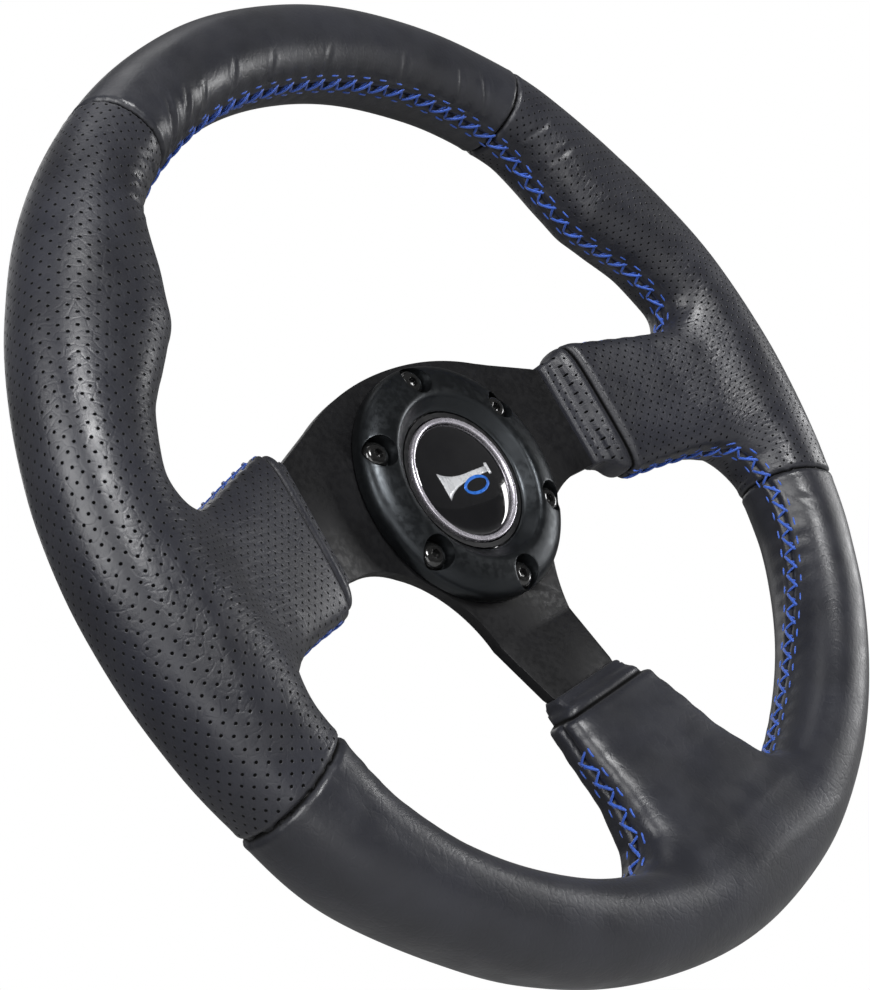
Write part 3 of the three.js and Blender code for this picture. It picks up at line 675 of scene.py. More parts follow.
def math_node(tree, operation, first, second=0.0, third=0.0):
    values = {0: first, 1: second}
    if operation == "MULTIPLY_ADD":
        values[2] = third
    return node(tree, "Math", values, operation=operation).outputs[0]


def ramp(tree, value, low, high, to_low=0.0, to_high=1.0):
    made = node(tree, "MapRange", {"Value": value, "From Min": low, "From Max": high,
                                   "To Min": to_low, "To Max": to_high},
                interpolation_type="SMOOTHSTEP")
    return made.outputs["Result"]


def object_place(tree):
    """Object coordinates in millimetres."""
    place = node(tree, "TexCoord").outputs["Object"]
    return node(tree, "VectorMath", {0: place, "Scale": 1 / MM}, operation="SCALE").outputs[0]


# Pebbled leather grain: fine cells with folds between them, and slow changes of tone.
grain, grain_in, grain_out = node_group(
    "leather_grain",
    [("Fold", "NodeSocketFloat", 0.5)],
    [("Height", "NodeSocketFloat"), ("Tone", "NodeSocketFloat"), ("Wear", "NodeSocketFloat")],
)
place = object_place(grain)
swirl = node(grain, "TexNoise", {"Vector": place, "Scale": 0.35, "Detail": 3.0})
warped = node(grain, "VectorMath", {0: place, 1: swirl.outputs["Color"]}, operation="ADD")
cells = node(grain, "TexVoronoi", {"Vector": warped.outputs[0], "Scale": 0.95},
             feature="SMOOTH_F1")
folds = node(grain, "TexVoronoi", {"Vector": warped.outputs[0], "Scale": 0.28},
             feature="DISTANCE_TO_EDGE")
pores = node(grain, "TexNoise", {"Vector": place, "Scale": 3.2, "Detail": 2.0})
pebble = math_node(grain, "MULTIPLY_ADD", cells.outputs["Distance"], -0.6, 0.6)
fold_line = ramp(grain, folds.outputs["Distance"], 0.0, 0.12, -1.0, 0.0)
folded = math_node(grain, "MULTIPLY_ADD", fold_line, grain_in.outputs["Fold"], pebble)
full = math_node(grain, "MULTIPLY_ADD", pores.outputs["Fac"], 0.35, folded)
grain.links.new(full, grain_out.inputs["Height"])
slow = node(grain, "TexNoise", {"Vector": place, "Scale": 0.045, "Detail": 4.0})
grain.links.new(ramp(grain, slow.outputs["Fac"], 0.3, 0.7), grain_out.inputs["Tone"])
patch = node(grain, "TexNoise", {"Vector": place, "Scale": 0.11, "Detail": 3.0})
grain.links.new(ramp(grain, patch.outputs["Fac"], 0.35, 0.7), grain_out.inputs["Wear"])

# Punched holes in staggered rows over the flat lay, none of them close to a hem or a seam.
HOLE_ROW = 3.7
HOLE_RADIUS = 0.38
punched, punched_in, punched_out = node_group(
    "punched_holes", [("Row", "NodeSocketFloat", HOLE_ROW)],
    [("Hole", "NodeSocketFloat"), ("Height", "NodeSocketFloat")],
)
lay_read = node(punched, "Attribute", attribute_name="lay").outputs["Vector"]
lay_parts = node(punched, "SeparateXYZ", {0: lay_read})


def cell_offset(value, shift):
    scaled = math_node(punched, "DIVIDE", value, punched_in.outputs["Row"])
    moved = math_node(punched, "ADD", scaled, shift)
    centred = math_node(punched, "SUBTRACT", math_node(punched, "FRACT", moved), 0.5)
    return math_node(punched, "MULTIPLY", centred, punched_in.outputs["Row"])


def hole_distance(shift):
    along = cell_offset(lay_parts.outputs["X"], shift)
    round_it = cell_offset(lay_parts.outputs["Y"], shift)
    joined = node(punched, "CombineXYZ", {"X": along, "Y": round_it})
    return node(punched, "VectorMath", {0: joined.outputs[0]}, operation="LENGTH").outputs["Value"]


nearest_hole = math_node(punched, "MINIMUM", hole_distance(0.0), hole_distance(0.5))
clear_of_hem = ramp(punched, lay_parts.outputs["Z"], 5.5, 6.5)
sewn_read = node(punched, "Attribute", attribute_name="seam_shade_mask").outputs["Fac"]
clear = math_node(punched, "MULTIPLY", clear_of_hem, ramp(punched, sewn_read, 0.0, 0.02, 1.0, 0.0))
hole = ramp(punched, nearest_hole, HOLE_RADIUS - 0.09, HOLE_RADIUS + 0.09, 1.0, 0.0)
hole = math_node(punched, "MULTIPLY", hole, clear)
lip = ramp(punched, nearest_hole, 0.3, 0.7, 1.0, 0.0)
lip = math_node(punched, "MULTIPLY", lip, clear)
# The hole mask also goes out to the leather, which is painted near black inside it as shade.
punched.links.new(hole, punched_out.inputs["Hole"])
dip = math_node(punched, "MULTIPLY_ADD", lip, -0.12, math_node(punched, "MULTIPLY", hole, -1.0))
punched.links.new(dip, punched_out.inputs["Height"])


def group_node(tree, group, **values):
    made = node(tree, "Group", node_tree=group)
    for label, value in values.items():
        made.inputs[label].default_value = value
    return made


def mixed(tree, factor, first, second):
    """One colour passing into another; the sockets of a colour mix are numbers 0, 6 and 7."""
    first, second = (v if isinstance(v, bpy.types.NodeSocket) else (*v, 1) for v in (first, second))
    return node(tree, "Mix", {0: factor, 6: first, 7: second}, data_type="RGBA").outputs[2]


def raised(tree, height, strength, depth):
    """The normals of a fine relief that is so many millimetres deep."""
    values = {"Height": height, "Strength": strength, "Distance": depth * MM}
    return node(tree, "Bump", values).outputs[0]


def feed(shader, **sockets):
    for label, socket in sockets.items():
        shader.id_data.links.new(socket, shader.inputs[label.replace("_", " ")])


LEATHER_ROUGHNESS = 0.43
LEATHER_GLOSS = 0.6
WRINKLE_LENGTHS = (0.5, 0.11)  # short along the rim, long round it
# Painted shade: the near-black colour that seams, hems, sleeve creases and punched holes are
# darkened to.
GROOVE_SHADE_COLOR = (0.002, 0.002, 0.002)


def leather(name, dark, light, fold, wrinkle, perforated):
    """Leather with its grain, worn spots, painted shade in its seams, hems, creases and punched
    holes, and drawn wrinkles inside.
    """
    material, tree, shader = material_with(name, Sheen_Weight=0.06)
    surface = group_node(tree, grain, Fold=fold)
    color = mixed(tree, surface.outputs["Tone"], dark, light)
    height = surface.outputs["Height"]
    # Painted shade: where the leather sinks into a seam, hem or crease, and in each punched hole,
    # the colour goes to near black and the gloss is taken away, for the shade that falls there.
    depth = node(tree, "Attribute", attribute_name="seam_shade_mask").outputs["Fac"]
    shadow = ramp(tree, depth, 0.25, 0.9)
    if wrinkle:
        lay_read = node(tree, "Attribute", attribute_name="lay").outputs["Vector"]
        along, round_it, _ = node(tree, "SeparateXYZ", {0: lay_read}).outputs
        drawn = node(tree, "CombineXYZ", {
            "X": math_node(tree, "MULTIPLY", along, WRINKLE_LENGTHS[0]),
            "Y": math_node(tree, "MULTIPLY", round_it, WRINKLE_LENGTHS[1]),
        })
        noise = node(tree, "TexNoise", {"Vector": drawn.outputs[0], "Scale": 1.0, "Detail": 3.0})
        inner_side = math_node(tree, "MULTIPLY", ramp(tree, round_it, 22, 36),
                               ramp(tree, round_it, 60, 76, 1, 0.2))
        wrinkled = math_node(tree, "MULTIPLY", inner_side,
                             ramp(tree, noise.outputs["Fac"], 0.4, 0.62))
        height = math_node(tree, "MULTIPLY_ADD", wrinkled, -wrinkle, height)
    if perforated:
        holes = group_node(tree, punched)
        shadow = math_node(tree, "MAXIMUM", shadow, holes.outputs["Hole"])
        height = math_node(tree, "MULTIPLY_ADD", holes.outputs["Height"], 1.6, height)
    worn = math_node(tree, "MULTIPLY_ADD", surface.outputs["Wear"], -0.1, LEATHER_ROUGHNESS)
    feed(shader, Base_Color=mixed(tree, shadow, color, GROOVE_SHADE_COLOR),
         Roughness=math_node(tree, "MULTIPLY_ADD", shadow, 0.4, worn),
         Specular_IOR_Level=math_node(tree, "MULTIPLY_ADD", shadow, -LEATHER_GLOSS, LEATHER_GLOSS),
         Normal=raised(tree, height, 0.5, 0.12))
    return material


smooth_leather = leather("smooth_leather", (0.0105, 0.0112, 0.0155), (0.0165, 0.0175, 0.024), 0.25,
                         0.0, False)
perforated_leather = leather("perforated_leather", (0.0115, 0.012, 0.0168),
                             (0.0185, 0.0195, 0.027), 0.35, 0.85, True)

PANELS = [  # name, first and last seam, the node it stands for, finish, slot
    ("top_leather", SEAMS[0], SEAMS[1], "leather_top", smooth_leather, "smooth_leather"),
    ("right_leather", SEAMS[1], SEAMS[2], "leather_right",
     perforated_leather, "perforated_leather"),
    ("bottom_leather", SEAMS[2], SEAMS[3], "leather_bottom", smooth_leather, "smooth_leather"),
    ("left_leather", SEAMS[3], SEAMS[0] + 360, "leather_left",
     perforated_leather, "perforated_leather"),
]
for name, first, last, stands_for, finish, slot in PANELS:
    panel = leather_panel(name, first, last)
    panel.data.materials.append(finish)
    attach(panel, "wheel")
    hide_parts(stands_for)
bpy.data.objects.remove(cover)


# ================================================================ hem stitches
# Blue waxed thread in a double cross stitch: a run of stitches down each edge of the leather, and
# a lacing that zigzags between them and pulls the edges together.

LACE_HALF = 2.5
RUN_OFFSET = 3.6
STROKES = [  # start and end along the hem and across it, crown height, thread radius
    (0.0, -LACE_HALF, 6.0, 2.4, 0.95, 0.55),
    (4.7, LACE_HALF, 7.1, -LACE_HALF, 0.55, 0.48),
    (1.6, -2.4, 4.0, 2.5, 0.3, 0.4),
    (0.9, RUN_OFFSET, 4.2, RUN_OFFSET, 0.42, 0.36),
    (4.1, -RUN_OFFSET, 7.4, -RUN_OFFSET, 0.42, 0.36),
]
STROKE_POINTS = 7
THREAD_SIDES = 6
THREAD_FLATNESS = 0.85
DIVE = 0.25  # how deep the ends of a stitch sit in the leather


def unit(vectors):
    return vectors / np.linalg.norm(vectors, axis=1)[:, None]


def faced_outwards(mesh, merge=0.0):
    """Turns a mesh's faces outwards, with points closer than a distance merged first."""
    shell = bmesh.new()
    shell.from_mesh(mesh)
    if merge:
        bmesh.ops.remove_doubles(shell, verts=shell.verts[:], dist=merge)
    bmesh.ops.recalc_face_normals(shell, faces=shell.faces[:])
    shell.to_mesh(mesh)
    shell.free()


def stitches(name, path, stands_for):
    """All stitches along one hem, as small tubes that dive into the leather at their ends."""
    along_path = unit(np.gradient(path, axis=0))
    at = np.arange(len(path)) * HEM_STEP
    repeats = int((at[-1] - STITCH_PITCH) / STITCH_PITCH)
    share = np.linspace(0, 1, STROKE_POINTS)
    place, across, lift, thick = [], [], [], []
    for repeat in range(repeats):
        for start, start_across, end, end_across, crown, radius in STROKES:
            place.append(repeat * STITCH_PITCH + start + (end - start) * share)
            across.append(start_across + (end_across - start_across) * share)
            lift.append(crown * np.sin(np.pi * share) ** 0.6 - DIVE)
            thick.append(np.full(STROKE_POINTS, radius))
    place, across, lift, thick = (np.concatenate(v) for v in (place, across, lift, thick))
    on_path = np.column_stack([np.interp(place, at, column) for column in path.T])
    ahead = unit(np.column_stack([np.interp(place, at, column) for column in along_path.T]))
    up = unit(slope(on_path))
    aside = unit(np.cross(up, ahead))
    base = settled(on_path + aside * across[:, None], 3)
    up = unit(slope(base))
    spine = (base + up * lift[:, None]).reshape(-1, STROKE_POINTS, 3)  # stitch, point, x y z
    up = up.reshape(-1, STROKE_POINTS, 3)
    thick = thick.reshape(-1, STROKE_POINTS)
    way = np.gradient(spine, axis=1)
    way /= np.linalg.norm(way, axis=2)[:, :, None]
    aside = np.cross(up, way)
    aside /= np.linalg.norm(aside, axis=2)[:, :, None]
    over = np.cross(way, aside)
    vertices, faces = [], []
    for number in range(THREAD_SIDES):
        angle = 2 * math.pi * number / THREAD_SIDES
        ring = aside * math.cos(angle) + over * math.sin(angle) * THREAD_FLATNESS
        vertices.append(spine + ring * thick[:, :, None])
    vertices = np.stack(vertices, axis=2).reshape(-1, 3)
    per_stroke = STROKE_POINTS * THREAD_SIDES
    for stroke in range(len(spine)):
        first = stroke * per_stroke
        for row in range(STROKE_POINTS - 1):
            for number in range(THREAD_SIDES):
                here = first + row * THREAD_SIDES + number
                beside = first + row * THREAD_SIDES + (number + 1) % THREAD_SIDES
                faces.append((here, beside, beside + THREAD_SIDES, here + THREAD_SIDES))
        faces.append(tuple(first + n for n in reversed(range(THREAD_SIDES))))
        faces.append(tuple(first + per_stroke - THREAD_SIDES + n for n in range(THREAD_SIDES)))
    mesh = bpy.data.meshes.new(name)
    mesh.from_pydata((vertices * MM).tolist(), [], faces)
    faced_outwards(mesh)
    piece = mesh_object(name, mesh)
    piece.data.materials.append(blue_thread)
    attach(piece, "wheel")
    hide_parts(stands_for)


blue_thread, tree, shader = material_with("blue_thread", roughness=0.45, Sheen_Weight=0.3)
place = object_place(tree)
fibres = node(tree, "TexNoise", {"Vector": place, "Scale": 2.6, "Detail": 4.0})
slow = node(tree, "TexNoise", {"Vector": place, "Scale": 0.2})
blend = math_node(tree, "MULTIPLY_ADD", slow.outputs["Fac"], 0.4,
                  math_node(tree, "MULTIPLY", fibres.outputs["Fac"], 0.6))
feed(shader, Roughness=ramp(tree, fibres.outputs["Fac"], 0.3, 0.7, 0.38, 0.6),
     Base_Color=mixed(tree, ramp(tree, blend, 0.3, 0.7), (0.01, 0.05, 0.28), (0.03, 0.12, 0.6)),
     Normal=raised(tree, fibres.outputs["Fac"], 0.6, 0.15))
for window, path in hems.items():
    stitches(window + "_stitches", path, "stitching_" + window)


# ================================================================ spoke plate
# One pressed aluminium plate with three arms, black anodised. Its outline is cut, its edges are
# broken, the centre is bored for the horn button, and the arms are bent towards the driver.

plate_outline = [  # right half, from the top of the arch to the foot of the lower arm
    [(0, 43.2), (20, 43.2), (34, 38.5), (45, 33.4)],
    [(45, 33.4), (62, 26.5)], [(62, 26.5), (72, 21.5)], [(72, 21.5), (86, 14)],
    [(86, 14), (CORE_RADIUS, 13)], [(CORE_RADIUS, 13), (CORE_RADIUS, -13)],
    [(CORE_RADIUS, -13), (70, -13.5)], [(70, -13.5), (56, -13.5)],
    [(56, -13.5), (38, -14), (21, -33), (18.8, -53)],
    [(18.8, -53), (16.9, -72)], [(16.9, -72), (12.5, -86)], [(12.5, -86), (12.5, -CORE_RADIUS)],
]


def run_of(stretch, steps):
    """Points along one stretch of an outline, a line or a curve, without its last point."""
    if len(stretch) == 2:
        return [stretch[0]]
    a, b, c, d = (np.array(p, float) for p in stretch)
    points = []
    for t in np.arange(steps) / steps:
        s = 1 - t
        points.append(tuple(a * s**3 + 3 * b * s * s * t + 3 * c * s * t * t + d * t**3))
    return points


def modified(piece, kind, **settings):
    only(piece)
    modifier = piece.modifiers.new(kind.lower(), kind)
    for key, value in settings.items():
        setattr(modifier, key, value)
    bpy.ops.object.modifier_apply(modifier=modifier.name)


def cut_away(piece, cutter):
    modified(piece, "BOOLEAN", operation="DIFFERENCE", object=cutter, solver="EXACT")
    bpy.data.objects.remove(cutter)


def rounded_edges(piece, width, angle=40):
    modified(piece, "BEVEL", width=width * MM, segments=2, limit_method="ANGLE",
             angle_limit=math.radians(angle), harden_normals=False)


def smoothed(piece, angle=35):
    only(piece)
    bpy.ops.object.shade_smooth_by_angle(angle=math.radians(angle))


def placed_bar(radius, low, high, x=0.0, z=0.0, sides=64):
    """A bar along the wheel's axis, in millimetres."""
    bpy.ops.mesh.primitive_cylinder_add(
        vertices=sides, radius=radius * MM, depth=(high - low) * MM,
        location=(x * MM, (low + high) / 2 * MM, z * MM), rotation=(math.pi / 2, 0, 0),
    )
    bar = bpy.context.object
    bpy.ops.object.transform_apply(location=True, rotation=True, scale=True)
    return bar


# Fine surface of worked metal and moulded plastic: slow change of tone, rubbed spots, fine texture.
surface, surface_in, surface_out = node_group(
    "worked_surface",
    [("Grit", "NodeSocketFloat", 6.0)],
    [("Tone", "NodeSocketFloat"), ("Rub", "NodeSocketFloat"), ("Height", "NodeSocketFloat")],
)
place = object_place(surface)
slow = node(surface, "TexNoise", {"Vector": place, "Scale": 0.06, "Detail": 3.0})
rub = node(surface, "TexNoise", {"Vector": place, "Scale": 0.5, "Detail": 6.0})
fine = node(surface, "TexNoise", {"Vector": place, "Detail": 3.0,
                                  "Scale": surface_in.outputs["Grit"]})
surface.links.new(ramp(surface, slow.outputs["Fac"], 0.3, 0.7), surface_out.inputs["Tone"])
surface.links.new(ramp(surface, rub.outputs["Fac"], 0.35, 0.65), surface_out.inputs["Rub"])
surface.links.new(fine.outputs["Fac"], surface_out.inputs["Height"])


def worked(name, dark, light, roughness, spread, relief, grit=6.0, **constants):
    """Metal or plastic: two tones, a roughness and how far it spreads, height in millimetres."""
    material, tree, shader = material_with(name, **constants)
    made = group_node(tree, surface, Grit=grit)
    rough = ramp(tree, made.outputs["Rub"], 0, 1, roughness - spread, roughness + spread)
    feed(shader, Base_Color=mixed(tree, made.outputs["Tone"], dark, light), Roughness=rough,
         Normal=raised(tree, made.outputs["Height"], 1.0, relief))
    return material


plate_finish = worked("plate_black", (0.004, 0.004, 0.0045), (0.007, 0.007, 0.008), 0.48, 0.06,
                      0.012, grit=5.0, Specular_IOR_Level=0.3)

half = [point for stretch in plate_outline for point in run_of(stretch, 28)]
half.append((0, -CORE_RADIUS))
outline = half[:-1] + [(-x, z) for x, z in reversed(half[1:-1])]
plate = bmesh.new()
plate.faces.new([plate.verts.new((x * MM, 0, z * MM)) for x, z in outline])
bends = [(RIGHT * side * ARM_FRONT[row, 0], RIGHT) for row in (1, 2) for side in (1, -1)]
for place, normal in (*bends, (-UP * TAIL_FRONT[1, 0], UP)):
    bmesh.ops.bisect_plane(
        plate, geom=[*plate.verts, *plate.edges, *plate.faces],
        plane_co=place * MM, plane_no=normal,
    )
for vert in plate.verts:
    x, z = abs(vert.co.x) / MM, -vert.co.z / MM
    on_tail = z > TAIL_FRONT[1, 0]
    front, out = (TAIL_FRONT, z) if on_tail else (ARM_FRONT, x)
    vert.co.y = float(np.interp(out, front[:, 0], front[:, 1])) * MM
front_faces = plate.faces[:]
bmesh.ops.recalc_face_normals(plate, faces=front_faces)
if sum(f.normal.y * f.calc_area() for f in plate.faces) > 0:
    bmesh.ops.reverse_faces(plate, faces=plate.faces[:])
pulled = bmesh.ops.extrude_face_region(plate, geom=front_faces)
for vert in [g for g in pulled["geom"] if isinstance(g, bmesh.types.BMVert)]:
    vert.co.y += PLATE_THICKNESS * MM
bmesh.ops.recalc_face_normals(plate, faces=plate.faces[:])
mesh = bpy.data.meshes.new("spoke_plate_pressed")
plate.to_mesh(mesh)
plate.free()
spoke_plate = mesh_object("pressed_plate", mesh)
BORE_RADIUS = 24.5
SCREW_HOLE_RADIUS = 2.8
screw_boxes = [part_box(f"ring_screw_{number}") for number in range(1, 7)]
screw_places = [((low[0] + high[0]) / 2 / MM, (low[2] + high[2]) / 2 / MM)
                for low, high in screw_boxes]
holes = [placed_bar(BORE_RADIUS, -10, 10, sides=128)]
holes += [placed_bar(SCREW_HOLE_RADIUS, -10, 10, x, z, sides=32) for x, z in screw_places]
cut_away(spoke_plate, joined(holes))
rounded_edges(spoke_plate, 0.5, angle=50)
smoothed(spoke_plate, 30)
spoke_plate.data.materials.append(plate_finish)
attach(spoke_plate, "wheel")
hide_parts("spoke_plate")


# ================================================================ trim ring
# A turned aluminium ring, black anodised, that spreads the screws' load over the plate. Its crown
# falls away to the outside and dishes in towards the horn button; six counterbores take the heads.

RING_BACK, RING_EDGE, RING_CREST, RING_LIP = -4.3, -7.5, -13.3, -8.8
RING_OUTER, RING_INNER, RING_CREST_RADIUS = 40.7, 24.2, 30.6
COUNTERBORE_RADIUS = 5.4
SCREW_SEAT = -7.6
ring_profile = [
    [(RING_INNER, RING_BACK), (RING_OUTER - 0.6, RING_BACK)],
    [(RING_OUTER - 0.6, RING_BACK), (RING_OUTER, RING_BACK - 0.6)],
    [(RING_OUTER, RING_BACK - 0.6), (RING_OUTER, RING_EDGE)],
    [(RING_OUTER, RING_EDGE), (RING_OUTER, -10.3), (37.6, RING_CREST + 0.3),
     (RING_CREST_RADIUS, RING_CREST)],
    [(RING_CREST_RADIUS, RING_CREST), (RING_CREST_RADIUS - 1.6, RING_CREST),
     (RING_CREST_RADIUS - 2.2, RING_CREST + 0.5), (RING_CREST_RADIUS - 2.9, RING_CREST + 1.4)],
    [(RING_CREST_RADIUS - 2.9, RING_CREST + 1.4), (RING_INNER + 1.6, RING_LIP - 1.2),
     (RING_INNER + 1.0, RING_LIP - 0.6), (RING_INNER + 0.5, RING_LIP - 0.3)],
    [(RING_INNER + 0.5, RING_LIP - 0.3), (RING_INNER, RING_LIP + 0.2)],
    [(RING_INNER, RING_LIP + 0.2), (RING_INNER, RING_BACK)],
]


def turned_piece(name, stretches, around, curve_steps, closed=True):
    """A piece turned on the wheel's axis from an outline of radius and y."""
    outline = [point for stretch in stretches for point in run_of(stretch, curve_steps)]
    if not closed:
        outline.append(stretches[-1][-1])
    mesh = bpy.data.meshes.new(name)
    edges = [(i, i + 1) for i in range(len(outline) - 1)]
    if closed:
        edges.append((len(outline) - 1, 0))
    mesh.from_pydata([(radius * MM, y * MM, 0) for radius, y in outline], edges, [])
    piece = mesh_object(name, mesh)
    only(piece)
    bpy.ops.object.mode_set(mode="EDIT")
    bpy.ops.mesh.select_mode(type="VERT")
    bpy.ops.mesh.select_all(action="SELECT")
    bpy.ops.mesh.spin(steps=around, angle=2 * math.pi, center=(0, 0, 0), axis=(0, 1, 0))
    bpy.ops.mesh.select_all(action="SELECT")
    bpy.ops.mesh.remove_doubles(threshold=0.002 * MM)
    bpy.ops.mesh.normals_make_consistent(inside=False)
    bpy.ops.object.mode_set(mode="OBJECT")
    return piece


ring_finish = worked("ring_black", (0.030, 0.033, 0.036), (0.040, 0.044, 0.048), 0.34, 0.05,
                     0.004, grit=4.0, Metallic=0.9)
ring = turned_piece("turned_ring", ring_profile, 180, 28)
cutters = [placed_bar(COUNTERBORE_RADIUS, -20, SCREW_SEAT, x, z) for x, z in screw_places]
cut_away(ring, joined(cutters))
cutters = [placed_bar(SCREW_HOLE_RADIUS, -20, 0, x, z, sides=32) for x, z in screw_places]
cut_away(ring, joined(cutters))
rounded_edges(ring, 0.3)
smoothed(ring)
ring.data.materials.append(ring_finish)
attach(ring, "wheel")
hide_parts("trim_ring")


# ================================================================ ring screws
# Six button head screws, M5, black oxide with a coat of oil, turned in with a 3 mm hex key.

HEAD_RADIUS, HEAD_HEIGHT, HEAD_SEAT = 4.7, 2.75, -7.9
HEX_RADIUS, HEX_DEPTH = 1.73, 1.6
SHANK_RADIUS, SHANK_END = 2.5, 6.0
head_top = HEAD_SEAT - HEAD_HEIGHT
screw_profile = [
    [(0, SHANK_END), (SHANK_RADIUS - 0.5, SHANK_END)],
    [(SHANK_RADIUS - 0.5, SHANK_END), (SHANK_RADIUS, SHANK_END - 0.5)],
    [(SHANK_RADIUS, SHANK_END - 0.5), (SHANK_RADIUS, HEAD_SEAT)],
    [(SHANK_RADIUS, HEAD_SEAT), (HEAD_RADIUS - 0.2, HEAD_SEAT)],
    [(HEAD_RADIUS - 0.2, HEAD_SEAT), (HEAD_RADIUS, HEAD_SEAT - 0.25)],
    [(HEAD_RADIUS, HEAD_SEAT - 0.25), (HEAD_RADIUS - 0.1, head_top + 1.0),
     (HEAD_RADIUS - 1.1, head_top + 0.1), (HEAD_RADIUS - 2.2, head_top)],
    [(HEAD_RADIUS - 2.2, head_top), (0, head_top)],
]
screw_finish = worked("screw_black", (0.004, 0.004, 0.004), (0.008, 0.008, 0.008), 0.17, 0.05,
                      0.004, grit=4.0, Coat_Weight=1.0, Coat_Roughness=0.08)
screw = turned_piece("screw_model", screw_profile, 64, 10, closed=False)
cut_away(screw, placed_bar(HEX_RADIUS, head_top - 1, head_top + HEX_DEPTH, sides=6))
rounded_edges(screw, 0.12)
smoothed(screw)
screw.data.materials.append(screw_finish)
TURNS = (12, 51, 33, 8, 44, 27)  # where each socket happened to stop, in degrees
for number, ((x, z), turned) in enumerate(zip(screw_places, TURNS), start=1):
    mesh = screw.data.copy()
    mesh.name = f"button_screw_{number}"
    mesh.transform(Matrix.Translation((x * MM, 0, z * MM))
                   @ Matrix.Rotation(math.radians(turned), 4, "Y"))
    copy = bpy.data.objects.new(mesh.name, mesh)
    bpy.context.collection.objects.link(copy)
    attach(copy, "wheel")
    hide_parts(f"ring_screw_{number}")
bpy.data.objects.remove(screw)


# ================================================================ horn button
# A plastic cap under a chrome bezel, with a domed resin lens over a black disc. The cap slides in
# the housing. A plain horn sign is printed on the lens.

bezel_low, bezel_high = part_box("horn_bezel")
BEZEL_OUTER = bezel_high[0] / MM
BEZEL_FRONT, BEZEL_BACK = bezel_low[1] / MM, bezel_high[1] / MM
BEZEL_INNER = 19.7
bezel_profile = [
    [(BEZEL_INNER, BEZEL_BACK), (BEZEL_OUTER, BEZEL_BACK)],
    [(BEZEL_OUTER, BEZEL_BACK), (BEZEL_OUTER, BEZEL_FRONT + 0.9)],
    [(BEZEL_OUTER, BEZEL_FRONT + 0.9), (BEZEL_OUTER, BEZEL_FRONT), (BEZEL_OUTER - 0.4, BEZEL_FRONT),
     (BEZEL_OUTER - 0.9, BEZEL_FRONT)],
    [(BEZEL_OUTER - 0.9, BEZEL_FRONT), (BEZEL_INNER + 0.3, BEZEL_FRONT),
     (BEZEL_INNER, BEZEL_FRONT + 0.4), (BEZEL_INNER, BEZEL_FRONT + 1.1)],
    [(BEZEL_INNER, BEZEL_FRONT + 1.1), (BEZEL_INNER, BEZEL_BACK)],
]
chrome = worked("bezel_chrome", (0.72, 0.69, 0.76), (0.82, 0.79, 0.86), 0.26, 0.05, 0.001,
                grit=2.0, Metallic=0.8)
bezel = turned_piece("chrome_bezel", bezel_profile, 144, 24)
smoothed(bezel, 50)
bezel.data.materials.append(chrome)
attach(bezel, "horn_button")
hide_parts("horn_bezel")

lens_low, lens_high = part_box("horn_lens")
LENS_RADIUS = lens_high[0] / MM
LENS_EDGE, LENS_CROWN = lens_high[1] / MM, lens_low[1] / MM
lens_profile = [
    [(0, LENS_EDGE), (LENS_RADIUS, LENS_EDGE)],
    [(LENS_RADIUS, LENS_EDGE), (LENS_RADIUS - 0.1, LENS_EDGE - 0.8),
     (LENS_RADIUS * 0.6, LENS_CROWN), (0, LENS_CROWN)],
]
resin, tree, shader = material_with("lens_resin", roughness=0.06, Specular_IOR_Level=0.6,
                                    Coat_Weight=1.0, Coat_Roughness=0.03)
made = group_node(tree, surface, Grit=1.5)
feed(shader, Roughness=ramp(tree, made.outputs["Rub"], 0, 1, 0.04, 0.10),
     Base_Color=mixed(tree, made.outputs["Tone"], (0.004, 0.004, 0.005), (0.008, 0.008, 0.009)))
lens = turned_piece("domed_lens", lens_profile, 144, 24, closed=False)
smoothed(lens, 50)
lens.data.materials.append(resin)
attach(lens, "horn_button")
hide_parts("horn_lens")


def dome_y(radius):
    """The lens's front at a distance from its middle."""
    profile = np.array(run_of(lens_profile[1], 24) + [lens_profile[1][-1]])[::-1]
    return float(np.interp(radius, profile[:, 0], profile[:, 1]))


SIGN_PROUD = 0.06
BELL = [(-11.6, 4.8), (-10.4, 3.8), (-8.8, 2.9), (-6.4, 2.0), (-2.8, 1.35), (10.4, 1.0)]


def hoop(x, z, wide, high, thick, count=40):
    """A flat oval hoop as two rings of points."""
    rings = []
    for grow in (0, -thick):
        rings.append([(x + (wide + grow) * math.cos(2 * math.pi * i / count),
                       z + (high + grow) * math.sin(2 * math.pi * i / count))
                      for i in range(count)])
    return rings


def printed(name, faces_of, color_pair):
    """A thin print on the dome, from flat faces of (x, z) points in millimetres."""
    shape = bmesh.new()
    for outline in faces_of:
        shape.faces.new([shape.verts.new((x * MM, 0, z * MM)) for x, z in outline])
    bmesh.ops.remove_doubles(shape, verts=shape.verts[:], dist=0.001 * MM)
    bmesh.ops.triangulate(shape, faces=shape.faces[:])
    bmesh.ops.subdivide_edges(shape, edges=shape.edges[:], cuts=3, use_grid_fill=True)
    for face in shape.faces:
        if face.normal.y > 0:
            face.normal_flip()
    for vert in shape.verts:
        vert.co.y = (dome_y(math.hypot(vert.co.x, vert.co.z) / MM) - SIGN_PROUD) * MM
    mesh = bpy.data.meshes.new(name)
    shape.to_mesh(mesh)
    shape.free()
    piece = mesh_object(name, mesh)
    modified(piece, "SOLIDIFY", thickness=SIGN_PROUD * 1.6 * MM, offset=-1.0)
    piece.data.materials.append(
        worked(name + "_ink", *color_pair, 0.3, 0.08, 0.003, grit=5.0, Metallic=0.3))
    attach(piece, "horn_button")


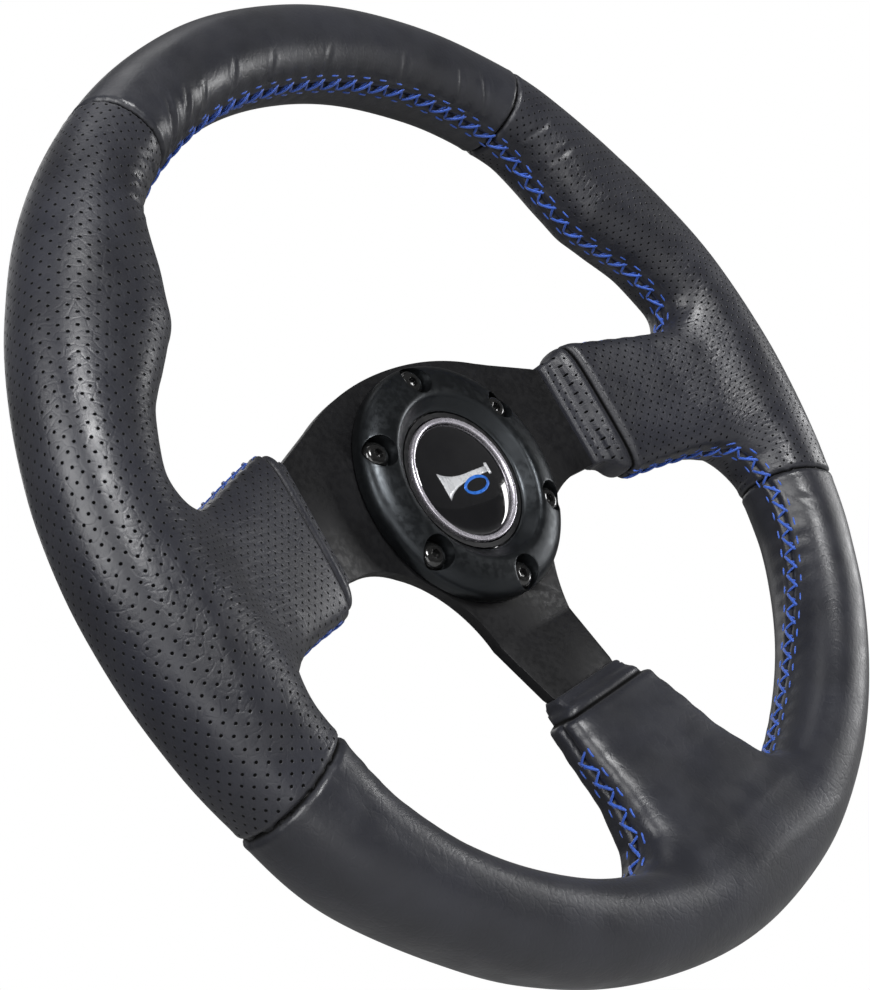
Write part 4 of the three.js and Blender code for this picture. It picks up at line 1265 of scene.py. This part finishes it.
outer, inner = hoop(2.2, -3.5, 6.2, 3.1, 1.1)
count = len(outer)
hoop_faces = [[outer[i], outer[(i + 1) % count], inner[(i + 1) % count], inner[i]]
              for i in range(count)]
BELL_FACES = [[(x0, z0), (x1, z1), (x1, -z1), (x0, -z0)]
              for (x0, z0), (x1, z1) in zip(BELL, BELL[1:])]
MOUTHPIECE = [(10.4, 2.0), (11.8, 2.0), (11.8, -2.0), (10.4, -2.0)]
silver = ((0.55, 0.56, 0.58), (0.66, 0.67, 0.69))
blue = ((0.02, 0.12, 0.5), (0.03, 0.18, 0.7))
printed("horn_sign", BELL_FACES + [MOUTHPIECE], silver)
printed("horn_sign_loop", hoop_faces, blue)

plastic = worked("black_plastic", (0.006, 0.006, 0.007), (0.010, 0.010, 0.011), 0.5, 0.08, 0.01,
                 grit=5.0)
disc_black = worked("disc_black", (0.006, 0.006, 0.007), (0.009, 0.009, 0.010), 0.4, 0.08, 0.004)
spring_steel = worked("spring_steel", (0.42, 0.42, 0.43), (0.55, 0.55, 0.56), 0.3, 0.08, 0.003,
                      Metallic=1.0)
brass = worked("contact_brass", (0.55, 0.37, 0.12), (0.68, 0.47, 0.17), 0.32, 0.1, 0.003,
               Metallic=1.0)
fibre = worked("pressed_fibre", (0.16, 0.07, 0.035), (0.24, 0.11, 0.055), 0.65, 0.1, 0.02)


def finished(finish, *node_names):
    """Gives pieces that stay as they are their finish."""
    for node_name in node_names:
        for slot_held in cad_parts[node_name].material_slots:
            slot_held.material = finish


finished(plastic, "horn_body", "horn_cap")
finished(disc_black, "horn_emblem_disc")
finished(spring_steel, "horn_retaining_ring")
finished(fibre, "horn_insulator")
finished(brass, "horn_fixed_contact", "horn_moving_contact", "horn_terminal_live",
         "horn_terminal_ground")


# ================================================================ return spring
# A coil of spring wire between the fibre washer and the cap, which shortens as the horn is pressed;
# here it is one fixed piece.

SPRING_RADIUS = 9.0
WIRE_RADIUS = 0.6
SPRING_TURNS = 3.5
SPRING_BACK_Y, SPRING_FRONT_Y = 3.8, -4.1  # the wire's middle at both ends
TURN_STEPS = 40

wire = bpy.data.curves.new("return_spring_wire", "CURVE")
wire.dimensions = "3D"
wire.bevel_depth = WIRE_RADIUS * MM
wire.bevel_resolution = 3
wire.use_fill_caps = True
coil = wire.splines.new("POLY")
share = np.linspace(0, 1, int(SPRING_TURNS * TURN_STEPS) + 1)
turned_by = share * SPRING_TURNS * 2 * np.pi
coil_y = SPRING_BACK_Y + (SPRING_FRONT_Y - SPRING_BACK_Y) * share
coil.points.add(len(share) - 1)
coil.points.foreach_set("co", np.column_stack([
    SPRING_RADIUS * MM * np.cos(turned_by), coil_y * MM, SPRING_RADIUS * MM * np.sin(turned_by),
    np.ones(len(share)),
]).ravel())
drawn_wire = bpy.data.objects.new("return_spring_wire", wire)
bpy.context.collection.objects.link(drawn_wire)
bpy.context.view_layer.update()
coil_mesh = bpy.data.meshes.new_from_object(drawn_wire)
bpy.data.objects.remove(drawn_wire)
faced_outwards(coil_mesh, merge=0.01 * MM)
return_spring = mesh_object("return_spring", coil_mesh)
coil_mesh.materials.clear()
coil_mesh.materials.append(spring_steel)
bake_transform(return_spring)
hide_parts("horn_spring")


# ================================================================ rim core
# A steel tube rolled into a ring, which the arms are welded to, cast into foam. Both are out of
# sight under the leather.

core_steel = worked("core_steel", (0.28, 0.28, 0.29), (0.38, 0.38, 0.39), 0.4, 0.1, 0.01,
                    Metallic=1.0)
foam = worked("moulded_foam", (0.03, 0.03, 0.03), (0.05, 0.05, 0.05), 0.85, 0.06, 0.06, grit=2.0)
finished(core_steel, "rim_core_tube")
finished(foam, "rim_foam")
